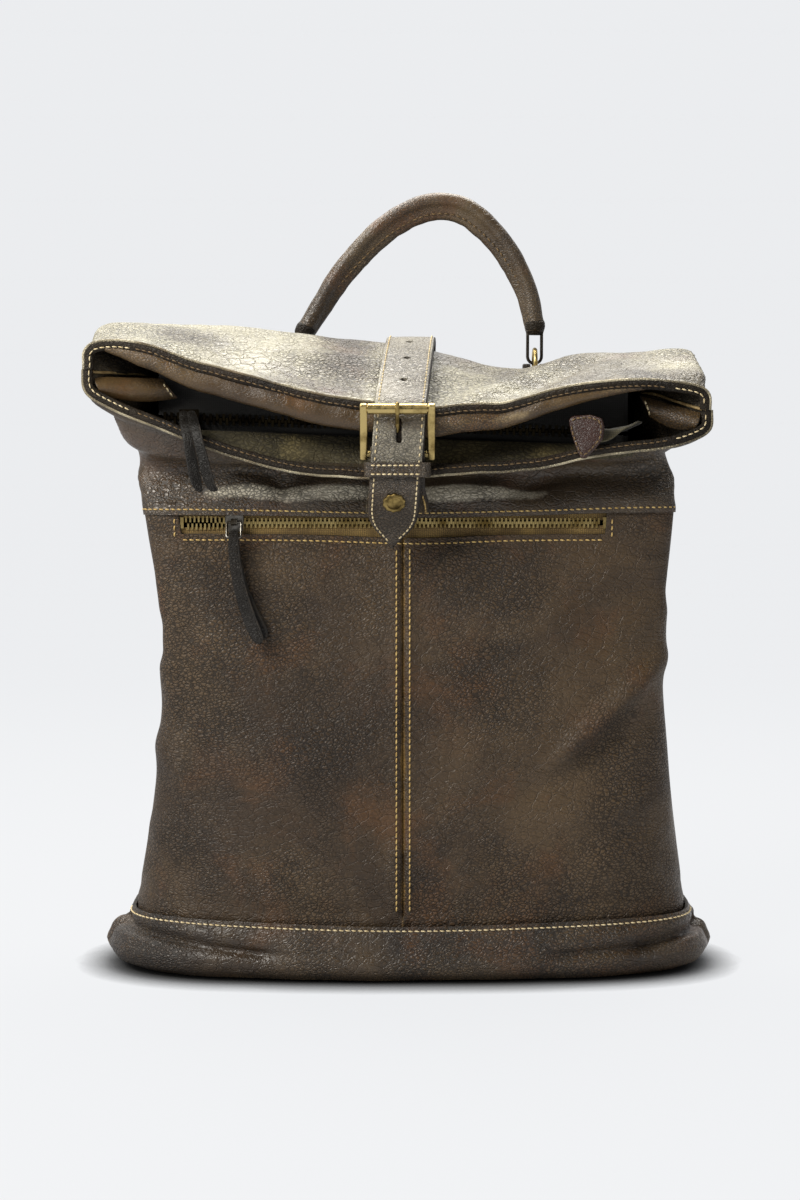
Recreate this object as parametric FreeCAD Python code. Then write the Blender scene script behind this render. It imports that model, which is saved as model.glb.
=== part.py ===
"""Leather roll-top backpack. Millimetres, +Z up, +Y towards the wearer's back, origin under the middle of the base."""

import FreeCAD, Part
import math
import os

V = FreeCAD.Vector
X_AXIS, Y_AXIS, Z_AXIS = V(1, 0, 0), V(0, 1, 0), V(0, 0, 1)

# ---- driving dimensions -------------------------------------------------------------------------------------
LEATHER = 2.2
SEAM_GAP = 0.3
BASE_SEAM_Z = 44.0
YOKE_SEAM_Z = 293.0
# The bag is a tube swept up a spine that bends forward into the roll top. Each station of the spine is
# (centre y, centre z, lean of the section in degrees, half width, half depth, squareness, inward side fold).
STATIONS = (
    (0.0, BASE_SEAM_Z, 0.0, 173.0, 64.0, 2.9, 0.0),
    (0.0, 130.0, 0.0, 168.0, 66.0, 3.2, 13.0),
    (0.0, 215.0, 0.0, 160.0, 62.0, 5.0, 22.0),
    (0.0, YOKE_SEAM_Z, 0.0, 162.0, 58.0, 9.0, 26.0),
    (-7.0, 331.0, 19.0, 174.0, 57.0, 6.0, 30.0),
    (-23.0, 358.0, 42.0, 189.0, 58.0, 6.0, 34.0),
    (-46.0, 356.0, 53.0, 192.0, 43.0, 6.0, 28.0),
    (-68.0, 347.0, 68.0, 193.0, 27.0, 6.0, 12.0),
    (-88.0, 338.0, 90.0, 195.0, 17.0, 6.0, 0.0),
)
BEND_STATION, RIM_STATION = 4, 8
END_LIFT, END_TILT, END_SETBACK, END_GAPE = 25.0, 12.0, 13.0, 0.35
BINDING_REACH, BINDING_THICK = 4.0, 5.4

ZIP_Z, ZIP_Y = 286.0, -52.7
ZIP_LEFT, ZIP_RIGHT = -138.0, 126.0
SLOT_LOW, SLOT_HIGH = 279.5, 294.0
TOOTH_PITCH, TOOTH_WIDTH, TOOTH_REACH, TOOTH_DEEP = 2.6, 1.15, 3.0, 3.0
TAPE_THICK, TAPE_WIDTH, PARTED = 0.6, 13.0, 1.2
SLIDER_X, SLIDER_LENGTH = -104.0, 11.0

MAIN_ZIP_LEFT, MAIN_ZIP_RIGHT = V(-150, -57, 351), V(138, -57, 341)
MAIN_SLIDER_X = -131.0

STRAP_WIDTH, STRAP_THICK, STRAP_LEAN = 31.0, 3.0, 0.075
HEEL_Y, HEEL_Z, HEEL_R = -98.5, 329.0, 2.0
ROLLER_Y, ROLLER_Z, ROLLER_R, ROLLER_BAR_R = -109.6, 356.0, 3.2, 2.0
FRAME_INSIDE, FRAME_BAR = 35.6, 4.6
TIP_SPLIT_Z = 314.5

HANDLE_Y, HANDLE_R, HANDLE_CORE_R = 57.0, 7.2, 4.6
RING_R, RING_WIRE, RING_PIVOT_Y, RING_PIVOT_Z = 9.0, 1.5, 52.5, 381.5
RING_X = (-70.0, 87.0)
SHOULDER_WIDTH, SHOULDER_THICK = 38.0, 4.0

nodes = {}


def keep(name, *shapes):
    """Stores the solids of one named piece."""
    solids = [s for shape in shapes for s in shape.Solids]
    nodes[name] = Part.makeCompound(solids)


# ---- the bag's skin -----------------------------------------------------------------------------------------
def cubic(a, b, c, d, t):
    """Catmull-Rom value between b and c."""
    return 0.5 * (2 * b + (c - a) * t + (2 * a - 5 * b + 4 * c - d) * t * t + (3 * b - a - 3 * c + d) * t ** 3)


def station(s):
    """The section of the tube at spine position s."""
    last = len(STATIONS) - 1
    i = min(int(s), last - 1)
    rows = [STATIONS[min(max(k, 0), last)] for k in (i - 1, i, i + 1, i + 2)]
    return [cubic(*values, s - i) for values in zip(*rows)]


def skin_point(s, theta):
    """A point of the outer skin: theta 0 is the right side, 90 degrees the back wall, 270 the front wall."""
    y, z, lean, wide, deep, square, fold = station(s)
    c, d = math.cos(theta), math.sin(theta)
    size = (abs(c) ** square + abs(d) ** square) ** (1 / square)
    across, depth = c / size, d / size
    pinch = fold * max(0.0, 1 - (depth / 0.85) ** 2) ** 2
    x = across * (wide - pinch)
    rolled = min(max((s - BEND_STATION) / (RIM_STATION - BEND_STATION), 0.0), 1.0)
    gape = 1 + END_GAPE * rolled * across ** 2
    lean = math.radians(lean)
    lift = END_LIFT * rolled * across ** 2 - END_TILT * min(1.0, 1.6 * rolled) * across
    back = END_SETBACK * rolled * across ** 2
    reach = depth * deep * gape
    return V(x, y + reach * math.cos(lean) + back, z + reach * math.sin(lean) + lift)


def evenly(points, count, trim):
    """count values spaced evenly along a polyline, with trim left off each end, as (index, share) pairs."""
    lengths = [0.0]
    for a, b in zip(points, points[1:]):
        lengths.append(lengths[-1] + a.distanceToPoint(b))
    found = []
    for k in range(count):
        at = trim + (lengths[-1] - 2 * trim) * k / (count - 1)
        i = max(j for j in range(len(points) - 1) if lengths[j] <= at)
        found.append((i, (at - lengths[i]) / (lengths[i + 1] - lengths[i])))
    return found


def even_points(points, count, trim):
    return [points[i] + (points[i + 1] - points[i]) * share for i, share in evenly(points, count, trim)]


WALLS = {
    "front": (math.pi, 2 * math.pi),
    "front_left": (math.pi, 1.5 * math.pi),
    "front_right": (1.5 * math.pi, 2 * math.pi),
    "back": (math.pi, 0.0),
}


def wall_angles(s, wall, count, trim=SEAM_GAP / 2):
    """Angles of evenly spaced points across a wall of the bag at spine position s."""
    start, end = WALLS[wall]
    angles = [start + (end - start) * k / 90 for k in range(91)]
    dense = [skin_point(s, a) for a in angles]
    return [angles[i] + (angles[i + 1] - angles[i]) * share for i, share in evenly(dense, count, trim)]


def outward(s, theta):
    """Unit normal of the skin, away from the spine."""
    up = skin_point(min(s + 0.03, 8.0), theta) - skin_point(max(s - 0.03, 0.0), theta)
    along = skin_point(s, theta + 0.02) - skin_point(s, theta - 0.02)
    n = along.cross(up)
    n.normalize()
    return n


def skin_grid(wall, stops, columns, depth, trim=SEAM_GAP / 2):
    """Points across a wall that lie depth inside the skin."""
    grid = []
    for s in stops:
        angles = wall_angles(s, wall, columns, trim)
        grid.append([skin_point(s, a) - outward(s, a) * depth for a in angles])
    return grid


def smooth_surface(grid):
    """A cubic surface led by a grid of poles, clamped to its border."""
    layout = []
    for count in (len(grid), len(grid[0])):
        degree = min(3, count - 1)
        inside = count - degree - 1
        layout.append(([degree + 1] + [1] * inside + [degree + 1], [float(k) for k in range(inside + 2)], degree))
    (rows_m, rows_k, rows_d), (cols_m, cols_k, cols_d) = layout
    surface = Part.BSplineSurface()
    surface.buildFromPolesMultsKnots(grid, rows_m, cols_m, rows_k, cols_k, False, False, rows_d, cols_d)
    return surface


def sheet(outer, inner):
    """A closed solid between two grids of points."""
    faces = [smooth_surface(grid).toShape() for grid in (outer, inner)]
    borders = (lambda g: g[0], lambda g: g[-1], lambda g: [r[0] for r in g], lambda g: [r[-1] for r in g])
    for border in borders:
        faces.append(smooth_surface([border(outer), border(inner)]).toShape())
    shell = Part.makeShell(faces)
    shell.sewShape()
    solid = Part.makeSolid(shell)
    if solid.Volume < 0:
        solid.reverse()
    return solid


def skin_panel(wall, stops, columns, depth=0.0, thick=LEATHER, trim=SEAM_GAP / 2):
    """A leather panel of one wall, whose outer face lies depth inside the skin."""
    return sheet(skin_grid(wall, stops, columns, depth, trim), skin_grid(wall, stops, columns, depth + thick, trim))


def stops(first, last, count):
    return [first + (last - first) * k / (count - 1) for k in range(count)]


BODY_STOPS = stops(0.004, 2.996, 8)
ROLL_STOPS = stops(3.004, 7.98, 21)


def make_skin():
    slot = Part.makeBox(ZIP_RIGHT - ZIP_LEFT, 60, SLOT_HIGH - SLOT_LOW, V(ZIP_LEFT, -90, SLOT_LOW))
    relief = Part.makeBox(ZIP_RIGHT - ZIP_LEFT + 16, 40, 30, V(ZIP_LEFT - 8, ZIP_Y - 0.7, ZIP_Z - 15))
    for side in ("left", "right"):
        panel = skin_panel("front_" + side, BODY_STOPS, 24)
        keep("front_panel_" + side, panel.cut(slot).cut(relief))
    keep("back_panel", skin_panel("back", BODY_STOPS, 47))
    keep("front_yoke", skin_panel("front", ROLL_STOPS, 47).cut(relief))
    keep("top_flap", skin_panel("back", ROLL_STOPS, 47))
    for name, wall in (("upper", "back"), ("lower", "front")):
        first = 6.8 if name == "upper" else 7.2
        facing = skin_panel(wall, stops(first, 7.96, 6), 23, depth=LEATHER + 4 * SEAM_GAP, thick=1.6, trim=22.0)
        keep("mouth_facing_" + name, facing)


def make_rim():
    """The edge binding that caps the mouth's rim, joined at the two side seams."""
    gap = 0.6
    for name, wall in (("upper", "back"), ("lower", "front")):
        row = [skin_point(RIM_STATION, a) for a in wall_angles(RIM_STATION, wall, 41)]
        middle = V(0, STATIONS[-1][0], STATIONS[-1][1])
        strips = []
        for inset in (-0.7, BINDING_THICK - 0.7):
            lines = []
            for forward in (gap, gap + BINDING_REACH):
                line = []
                for j, p in enumerate(row):
                    along = row[min(j + 1, len(row) - 1)] - row[max(j - 1, 0)]
                    n = along.cross(Y_AXIS)
                    n.normalize()
                    if n.dot(p - middle) < 0:
                        n = n * -1
                    line.append(p - n * inset - Y_AXIS * forward)
                lines.append(line)
            strips.append(lines)
        keep("rim_binding_" + name, sheet(*strips))


# ---- base ---------------------------------------------------------------------------------------------------
BASE_SECTIONS = ((2.8, 172.0, 56.0), (7.0, 182.0, 65.0), (17.0, 190.0, 70.0), (27.0, 187.0, 69.0),
                 (35.0, 178.0, 66.0), (BASE_SEAM_Z - 0.3, 173.5, 64.5))


def base_row(z, wide, deep, front, count, trim=SEAM_GAP / 2):
    side = -1 if front else 1
    dense = []
    for k in range(121):
        a = math.pi * k / 120
        c, d = math.cos(a), math.sin(a)
        x = math.copysign(abs(c) ** (2 / 2.9), c) * wide
        dense.append(V(x, side * abs(d) ** (2 / 2.9) * deep, z))
    return even_points(dense, count, trim)


def make_base():
    for name, front in (("front", True), ("back", False)):
        faces = []
        for inset in (0.0, LEATHER):
            faces.append([base_row(z, a - inset, b - inset, front, 25) for z, a, b in BASE_SECTIONS])
        keep("base_wrap_" + name, sheet(*faces))
    z, wide, deep = BASE_SECTIONS[0]
    keep("base_bottom", oval_plate(wide - 1, deep - 1, 0.0, 2.5))
    keep("base_board", oval_plate(wide - 8, deep - 8, 2.9, 2.4))


def oval_plate(wide, deep, z, thick):
    """A flat plate with the base's rounded outline."""
    points = [base_row(z, wide, deep, front, 25, 0.0) for front in (True, False)]
    loop = points[0] + points[1][::-1][1:-1]
    curve = Part.BSplineCurve()
    curve.interpolate(loop, PeriodicFlag=True)
    return Part.Face(Part.Wire(curve.toShape())).extrude(V(0, 0, thick))


# ---- linings ------------------------------------------------------------------------------------------------
LINING_WIDE, LINING_DEEP, LINING_TOP, LINING_BOTTOM, LINING_THICK = 122.0, 42.0, 300.0, 6.0, 1.0


def make_linings():
    wide, deep, floor = LINING_WIDE, LINING_DEEP, LINING_BOTTOM + LINING_THICK
    panels = [block(-wide, wide, -deep, deep, LINING_BOTTOM, floor)]
    for side in (-1, 1):
        panels.append(block(-wide, wide, *sorted((side * deep, side * (deep - LINING_THICK))), floor, LINING_TOP))
        panels.append(block(*sorted((side * wide, side * (wide - LINING_THICK))),
                            LINING_THICK - deep, deep - LINING_THICK, floor, LINING_TOP))
    keep("main_lining", *panels)
    plies = []
    for depth in (3.0, 13.0):
        plies.append(skin_panel("front", stops(1.3, 2.6, 5), 9, depth=depth, thick=0.8, trim=62.0))
    keep("pocket_lining", *plies)


# ---- front pocket zip ---------------------------------------------------------------------------------------
def bar(a, b, radius):
    """A round bar between two points."""
    return Part.makeCylinder(radius, a.distanceToPoint(b), a, b - a)


def block(x0, x1, y0, y1, z0, z1):
    return Part.makeBox(x1 - x0, y1 - y0, z1 - z0, V(x0, y0, z0))


def tooth(x, side, z_shift):
    """One tooth of the chain; side is +1 on the upper tape and -1 on the lower one."""
    nose, root = ZIP_Z + z_shift - side * 0.8, ZIP_Z + z_shift + side * TOOTH_REACH
    y = ZIP_Y
    low, high = min(nose, root), max(nose, root)
    body = block(x - TOOTH_WIDTH / 2, x + TOOTH_WIDTH / 2, y - TOOTH_DEEP / 2, y + TOOTH_DEEP / 2, low, high)
    groove = block(x - 1, x + 1, y - TAPE_THICK / 2 - 0.05, y + TAPE_THICK / 2 + 0.05,
                   *sorted((root, root - side * 1.6)))
    return body.cut(groove)


def chain(side, left, right, slider_x):
    teeth = []
    x = left + 4 + (0 if side > 0 else TOOTH_PITCH / 2)
    while x < right - 4:
        share = min(1.0, max(0.0, (slider_x - 3 - x) / 12.0))
        teeth.append(tooth(x, side, side * PARTED * share))
        x += TOOTH_PITCH
    return teeth


def make_pocket_zip():
    tapes = []
    for side in (1, -1):
        near, far = ZIP_Z + side * 1.9, ZIP_Z + side * TAPE_WIDTH
        tape = block(ZIP_LEFT - 6, ZIP_RIGHT + 6, ZIP_Y - TAPE_THICK / 2, ZIP_Y + TAPE_THICK / 2, *sorted((near, far)))
        opened = block(ZIP_LEFT - 7, SLIDER_X - 2, ZIP_Y - 1, ZIP_Y + 1, *sorted((near, near + side * 1.1)))
        tapes.append(tape.cut(opened))
    keep("pocket_zip_tapes", *tapes)
    keep("pocket_zip_teeth", *chain(1, ZIP_LEFT, ZIP_RIGHT, SLIDER_X), *chain(-1, ZIP_LEFT, ZIP_RIGHT, SLIDER_X))
    stopper = [block(x - 1, x + 1, ZIP_Y - 1.8, ZIP_Y + 1.8, ZIP_Z - 3.4, ZIP_Z + 3.4)
               .cut(block(x - 2, x + 2, ZIP_Y - 0.35, ZIP_Y + 0.35, ZIP_Z - 4, ZIP_Z + 4))
               for x in (ZIP_LEFT + 1.5, ZIP_RIGHT - 1.5)]
    keep("pocket_zip_stops", *stopper)
    keep("pocket_slider", *zip_slider(SLIDER_X))
    keep("pocket_bail", bail(SLIDER_X))
    keep("pocket_pull", leather_pull())


SLIDER_HALF = 5.3
CROWN_Y, CROWN_Z = ZIP_Y - 6.2, ZIP_Z + 0.6
BAIL_WIRE, BAIL_HALF, BAIL_DROP, BAIL_OUT = 0.8, 4.4, 9.0, 4.6


def zip_slider(x):
    """Front and back plates with their flanges, and the lug that holds the bail."""
    half = SLIDER_LENGTH / 2
    inner = PARTED + TOOTH_REACH + 0.3
    front = block(x - half, x + half, ZIP_Y - 3.7, ZIP_Y - 0.6, ZIP_Z - SLIDER_HALF, ZIP_Z + SLIDER_HALF)
    front = front.cut(block(x - half - 1, x + half + 1, ZIP_Y - 1.8, ZIP_Y, ZIP_Z - inner, ZIP_Z + inner))
    back = front.mirror(V(0, ZIP_Y, 0), Y_AXIS)
    rounded = [e for e in front.Edges if abs(e.tangentAt(e.FirstParameter).y) > 0.9 and e.Length > 3]
    front = front.makeFillet(1.6, rounded)
    lug = bar(V(x - 1.9, CROWN_Y, CROWN_Z), V(x + 1.9, CROWN_Y, CROWN_Z), 2.0)
    lug = lug.fuse(block(x - 1.9, x + 1.9, CROWN_Y, ZIP_Y - 3.6, CROWN_Z - 2.0, CROWN_Z + 2.0))
    bore = bar(V(x - 3, CROWN_Y, CROWN_Z), V(x + 3, CROWN_Y, CROWN_Z), BAIL_WIRE + 0.1)
    return front.fuse(lug).removeSplitter().cut(bore), back


def bail(x):
    """A closed wire loop that hangs from the lug and leans away from the panel."""
    top_left, top_right = V(x - BAIL_HALF, CROWN_Y, CROWN_Z), V(x + BAIL_HALF, CROWN_Y, CROWN_Z)
    down = V(0, -BAIL_OUT, -BAIL_DROP)
    corners = [top_left, top_right, top_right + down, top_left + down]
    return wire_loop(corners, BAIL_WIRE)


def wire_loop(corners, radius):
    """A closed rectangular loop of round wire with rounded corners."""
    turn = 1.6 * radius
    edges = []
    for i, corner in enumerate(corners):
        ahead, behind = corners[(i + 1) % 4] - corner, corners[i - 1] - corner
        reach = ahead.Length
        ahead.normalize()
        behind.normalize()
        a, b = corner + behind * turn, corner + ahead * turn
        inward = ahead + behind
        middle = corner + inward * (turn * (1 - math.sqrt(0.5)))
        edges.append(Part.Arc(a, middle, b).toShape())
        edges.append(Part.LineSegment(b, corner + ahead * (reach - turn)).toShape())
    first = edges[1].Vertexes[0].Point
    ring = Part.Wire(Part.makeCircle(radius, first, corners[1] - corners[0]))
    return Part.Wire(edges[1:] + edges[:1]).makePipeShell([ring], True, False)


PULL_LENGTH, PULL_WIDTH, PULL_PLY, PULL_SWEEP = 64.0, 8.0, 1.8, 15.0


def hanging_ply(x, y, z, width, length, sweep, ply, out=0.0):
    """A strip that hangs from (x, y, z), drifting sideways by sweep and forward by out towards its end."""
    faces = []
    for face in (0.0, ply):
        grid = []
        for k in range(6):
            t = k / 5
            middle = V(x + sweep * t * t, y - face - out * t, z - length * t)
            grid.append([middle + V(f * width / 2, 0, 0) for f in (-1, 0, 1)])
        faces.append(grid)
    return sheet(*faces)


def leather_pull():
    """A strip folded through the bail, with both plies hanging side by side."""
    y, z = CROWN_Y - BAIL_OUT, CROWN_Z - BAIL_DROP
    half = BAIL_HALF - BAIL_WIRE - 0.4
    eye = bar(V(SLIDER_X - half, y, z), V(SLIDER_X + half, y, z), 2.9)
    front = hanging_ply(SLIDER_X, y - 1.2, z - 1, 2 * half, PULL_LENGTH, PULL_SWEEP, PULL_PLY, 3.0)
    back = hanging_ply(SLIDER_X, y + 1.6, z - 1, 2 * half, PULL_LENGTH - 3, PULL_SWEEP + 2.5, PULL_PLY, 3.0)
    pull = eye.fuse(front).fuse(back)
    return pull.cut(bar(V(SLIDER_X - 9, y, z), V(SLIDER_X + 9, y, z), BAIL_WIRE + 0.1))


# ---- main zip inside the mouth ------------------------------------------------------------------------------
def main_zip_point(x):
    share = (x - MAIN_ZIP_LEFT.x) / (MAIN_ZIP_RIGHT.x - MAIN_ZIP_LEFT.x)
    return MAIN_ZIP_LEFT + (MAIN_ZIP_RIGHT - MAIN_ZIP_LEFT) * share


def make_main_zip():
    """Both halves of the zip curtain, its chain, slider, hanging pull and the tail with its end tab."""
    tapes, teeth = [], []
    for side in (1, -1):
        faces = []
        for dy in (-0.4, 0.4):
            near, far = [], []
            for k in range(9):
                p = main_zip_point(MAIN_ZIP_LEFT.x + (MAIN_ZIP_RIGHT.x - MAIN_ZIP_LEFT.x) * k / 8)
                edge = wall_height(p.x, p.y, side)
                near.append(V(p.x, p.y + dy, p.z + side * 1.6))
                far.append(V(p.x, p.y + dy, edge - side * 8.0))
            faces.append([near, far])
        tapes.append(sheet(*faces))
        x = MAIN_ZIP_LEFT.x + 4 + (0 if side > 0 else 2.0)
        while x < MAIN_ZIP_RIGHT.x - 6:
            p = main_zip_point(x)
            low, high = sorted((p.z - side * 0.8, p.z + side * 3.4))
            cut = block(x - 2, x + 2, p.y - 0.5, p.y + 0.5, *sorted((p.z + side * 1.5, p.z + side * 5)))
            teeth.append(block(x - 0.8, x + 0.8, p.y - 1.8, p.y + 1.8, low, high).cut(cut))
            x += 4.0
    keep("main_zip_tapes", *tapes)
    keep("main_zip_teeth", *teeth)
    p = main_zip_point(MAIN_SLIDER_X)
    plate = block(p.x - 6, p.x + 6, p.y - 4.2, p.y - 2.4, p.z - 5.5, p.z + 5.5)
    back = block(p.x - 6, p.x + 6, p.y + 2.4, p.y + 4.0, p.z - 5.5, p.z + 5.5)
    lug_y = p.y - 6.6
    lug = bar(V(p.x - 2, lug_y, p.z), V(p.x + 2, lug_y, p.z), 2.2).fuse(
        block(p.x - 2, p.x + 2, lug_y, p.y - 4.1, p.z - 2.2, p.z + 2.2))
    bore = bar(V(p.x - 3, lug_y, p.z), V(p.x + 3, lug_y, p.z), 1.0)
    keep("main_slider", plate.fuse(lug).removeSplitter().cut(bore), back)
    corners = [V(p.x + i * 5, lug_y - j * 9, p.z) for i, j in ((-1, 0), (1, 0), (1, 1), (-1, 1))]
    keep("main_bail", wire_loop(corners, 0.9))
    keep("main_pull", main_pull(V(p.x, lug_y - 9, p.z)))
    tail = [V(140, -62, 345), V(134, -70, 344), V(122, -80, 342)]
    faces = [[[q + V(0, dy, dz) for dz in (-6, 0, 6)] for q in tail] for dy in (-0.5, 0.5)]
    keep("main_zip_tail", sheet(*faces))
    tab = Part.makeBox(22.6, 5, 22.6, V(98, -90.5, 328.4))
    keep("main_zip_end_tab", tab.makeFillet(2.0, tab.Edges))


def wall_height(x, y, side):
    """Height of the back (side +1) or front (side -1) wall of the roll at x, where the spine passes y."""
    best = None
    for s in stops(5.6, 7.6, 41):
        for k in range(61):
            share = -0.98 + 1.96 * k / 60
            square = station(s)[5]
            p = skin_point(s, math.atan2(side * (1 - abs(share) ** square) ** (1 / square), share))
            miss = abs(p.x - x) + abs(p.y - y)
            if best is None or miss < best[0]:
                best = (miss, p.z)
    return best[1]


MAIN_PULL_PATH = ((0, -2), (-10, -1), (-20, -4), (-23, -20), (-23, -42))


def main_pull(eye):
    """Two leather plies that leave the slider, cross the lower lip and hang down the front."""
    plies = []
    for shift, far in ((-2.6, -7.0), (2.6, 6.0)):
        faces = []
        for thick in (-0.9, 0.9):
            grid = []
            for k, (dy, dz) in enumerate(MAIN_PULL_PATH):
                t = k / (len(MAIN_PULL_PATH) - 1)
                x = eye.x + shift + (far - shift) * t * t + 8 * t * t
                lean = (0, 0.2, 0.75, 1.0, 1.0)[k]
                offset = V(0, -thick * lean, thick * (1 - lean))
                centre = V(x, eye.y + dy, eye.z + dz) + offset
                grid.append([centre + V(f * 2.4, 0, 0) for f in (-1, 0, 1)])
            faces.append(grid)
        plies.append(sheet(*faces))
    loop = bar(eye - V(3.6, 0, 0), eye + V(3.6, 0, 0), 3.2)
    for ply in plies:
        loop = loop.fuse(ply)
    return loop.cut(bar(eye - V(9, 0, 0), eye + V(9, 0, 0), 1.0))


# ---- closure strap and buckle -------------------------------------------------------------------------------
# The strap's inner face in the plane of symmetry, from its root on the back over the roll to the keeper.
STRAP_PATH = ((50.6, 346.0), (47.0, 362.0), (38.0, 385.0), (24.0, 400.5), (4.0, 402.5), (-20.0, 394.5),
              (-52.0, 380.5), (-80.0, 366.5), (-94.0, 360.0), (-100.5, 352.5), (-102.9, 343.0),
              (-103.0, 329.0), (-102.6, TIP_SPLIT_Z + 0.2))
TIP_PATH = ((-102.6, TIP_SPLIT_Z - 0.2), (-100.0, 306.0), (-92.5, 296.0), (-82.0, 285.0), (-75.0, 273.5))


def strap_x(z, y):
    """The strap runs slightly askew: its middle drifts to the right as it climbs."""
    climb = (z - TIP_SPLIT_Z) + max(0.0, y + 94) * 0.45
    return -4.5 + STRAP_LEAN * climb


def ribbon(path, width_at, inner, outer, columns=3):
    """A strip between two distances off a path in the YZ plane; width_at gives its half width at each point."""
    offsets = []
    for i, (y, z) in enumerate(path):
        a, b = path[max(i - 1, 0)], path[min(i + 1, len(path) - 1)]
        length = math.hypot(b[0] - a[0], b[1] - a[1])
        offsets.append((-(a[1] - b[1]) / length, (a[0] - b[0]) / length))
    faces = []
    for distance in (inner, outer):
        grid = []
        for (y, z), (ny, nz), k in zip(path, offsets, range(len(path))):
            half = width_at(k / (len(path) - 1))
            middle = V(strap_x(z, y), y + ny * distance, z + nz * distance)
            grid.append([middle + V(half * (2 * c / (columns - 1) - 1), 0, 0) for c in range(columns)])
        faces.append(grid)
    return sheet(*faces)


def make_closure():
    full = lambda t: STRAP_WIDTH / 2
    layers = (("closure_strap_lining", 0.0, 1.1), ("closure_strap", 1.2, STRAP_THICK))
    for name, inner, outer in layers:
        strap = ribbon(STRAP_PATH, full, inner, outer)
        strap = strap.cut(prong_slot())
        for y, z in ((-71.0, 371.0), (-42.0, 385.0), (-12.0, 397.0)):
            x = strap_x(z, y)
            strap = strap.cut(bar(V(x, y + 8, z - 18), V(x, y - 8, z + 18), 1.6))
        keep(name, strap)
    taper = lambda t: STRAP_WIDTH / 2 * (1.0, 0.98, 0.94, 0.72, 0.12)[round(t * 4)]
    keep("closure_strap_tip", ribbon(TIP_PATH, taper, 0.0, STRAP_THICK))
    out = V(0, -0.8, -0.6)
    seat = V(strap_x(302, -97), -97.0, 302.0) + out * (STRAP_THICK - 0.4)
    stud = Part.makeCylinder(6.0, 2.0, seat, out)
    dome = Part.makeCone(4.6, 2.0, 1.5, seat + out * 2.0, out)
    keep("tip_stud", stud.fuse(dome).removeSplitter().cut(nodes["closure_strap_tip"]))


def prong_slot():
    x = strap_x(HEEL_Z, HEEL_Y)
    ends = [bar(V(x, -112, z), V(x, -98, z), 2.0) for z in (333.0, 349.0)]
    return block(x - 2.0, x + 2.0, -112, -98, 333.0, 349.0).fuse(ends)


CHAPE_PATH = ((-99.6, 324.0), (-99.8, 317.0), (-96.0, 308.0), (-86.0, 302.0), (-72.0, 301.5), (-61.5, 296.8))


def make_buckle():
    """The tab sewn to the yoke, its keeper, and the buckle with its prong and roller."""
    x = strap_x(HEEL_Z, HEEL_Y)
    half = FRAME_INSIDE / 2
    heel_left, heel_right = V(x - half - 2, HEEL_Y, HEEL_Z), V(x + half + 2, HEEL_Y, HEEL_Z)
    loop = bar(V(x - half + 1, HEEL_Y, HEEL_Z), V(x + half - 1, HEEL_Y, HEEL_Z), 4.0)
    loop = loop.cut(bar(heel_left, heel_right, HEEL_R + 0.1))
    loop = loop.cut(block(x - 2.8, x + 2.8, HEEL_Y - 6, HEEL_Y + 6, HEEL_Z - 3.9, HEEL_Z + 6))
    chape = ribbon(CHAPE_PATH, lambda t: 16.2 + 3.5 * min(1.0, max(0.0, 3 * t - 0.7)), -1.1, 2.0)
    chape = chape.cut(bar(heel_left, heel_right, HEEL_R + 0.1))
    keep("buckle_tab", loop.fuse(chape))
    keep("strap_keeper", keeper(x))

    side_bars = []
    for side in (-1, 1):
        at = x + side * (half + FRAME_BAR / 2)
        side_bars.append(side_bar(at))
    frame = side_bars[0].fuse(side_bars[1]).fuse(bar(heel_left, heel_right, HEEL_R))
    frame = frame.fuse(bar(V(x - half - 1, ROLLER_Y, ROLLER_Z), V(x + half + 1, ROLLER_Y, ROLLER_Z), ROLLER_BAR_R))
    keep("buckle_frame", frame.removeSplitter())
    ends = [V(x + side * (half - 0.3), ROLLER_Y, ROLLER_Z) for side in (-1, 1)]
    keep("buckle_roller", bar(*ends, ROLLER_R).cut(bar(*ends, ROLLER_BAR_R + 0.1)))
    keep("buckle_prong", prong(x))


def keeper(x):
    """A closed leather loop round the strap and its tab."""
    outer = block(x - 20, x + 20, -108.6, -94.6, 315.8, 324.2)
    inner = block(x - 17.4, x + 17.4, -106.6, -96.6, 300, 340)
    corners = [e for e in outer.Edges if abs(e.tangentAt(e.FirstParameter).z) > 0.9]
    return outer.makeFillet(3.0, corners).cut(inner)


def side_bar(x):
    """One side of the frame: a rounded bar from the heel to the roller end."""
    reach = V(0, ROLLER_Y - HEEL_Y, ROLLER_Z - HEEL_Z)
    length = reach.Length
    box = Part.makeBox(FRAME_BAR, 4.4, length + 6.6, V(-FRAME_BAR / 2, -2.2, -3.3))
    box = box.makeFillet(1.2, box.Edges)
    box.rotate(V(0, 0, 0), X_AXIS, math.degrees(math.atan2(-reach.y, reach.z)))
    box.translate(V(x, HEEL_Y, HEEL_Z))
    return box


PRONG_PATH = ((-101.0, 331.0), (-101.0, 339.5), (-107.2, 347.9), (-114.2, 353.4), (-115.4, 359.0))


def prong(x):
    """A bent pin hooked round the heel bar, through the strap and over the roller."""
    hook = bar(V(x - 1.6, HEEL_Y, HEEL_Z), V(x + 1.6, HEEL_Y, HEEL_Z), 3.6)
    shank = Part.makeSphere(1.15, V(x, *PRONG_PATH[0]))
    for a, b in zip(PRONG_PATH, PRONG_PATH[1:]):
        shank = shank.fuse(bar(V(x, *a), V(x, *b), 1.15)).fuse(Part.makeSphere(1.15, V(x, *b)))
    solid = hook.fuse(shank)
    return solid.cut(bar(V(x - 3, HEEL_Y, HEEL_Z), V(x + 3, HEEL_Y, HEEL_Z), HEEL_R + 0.1))


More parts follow.
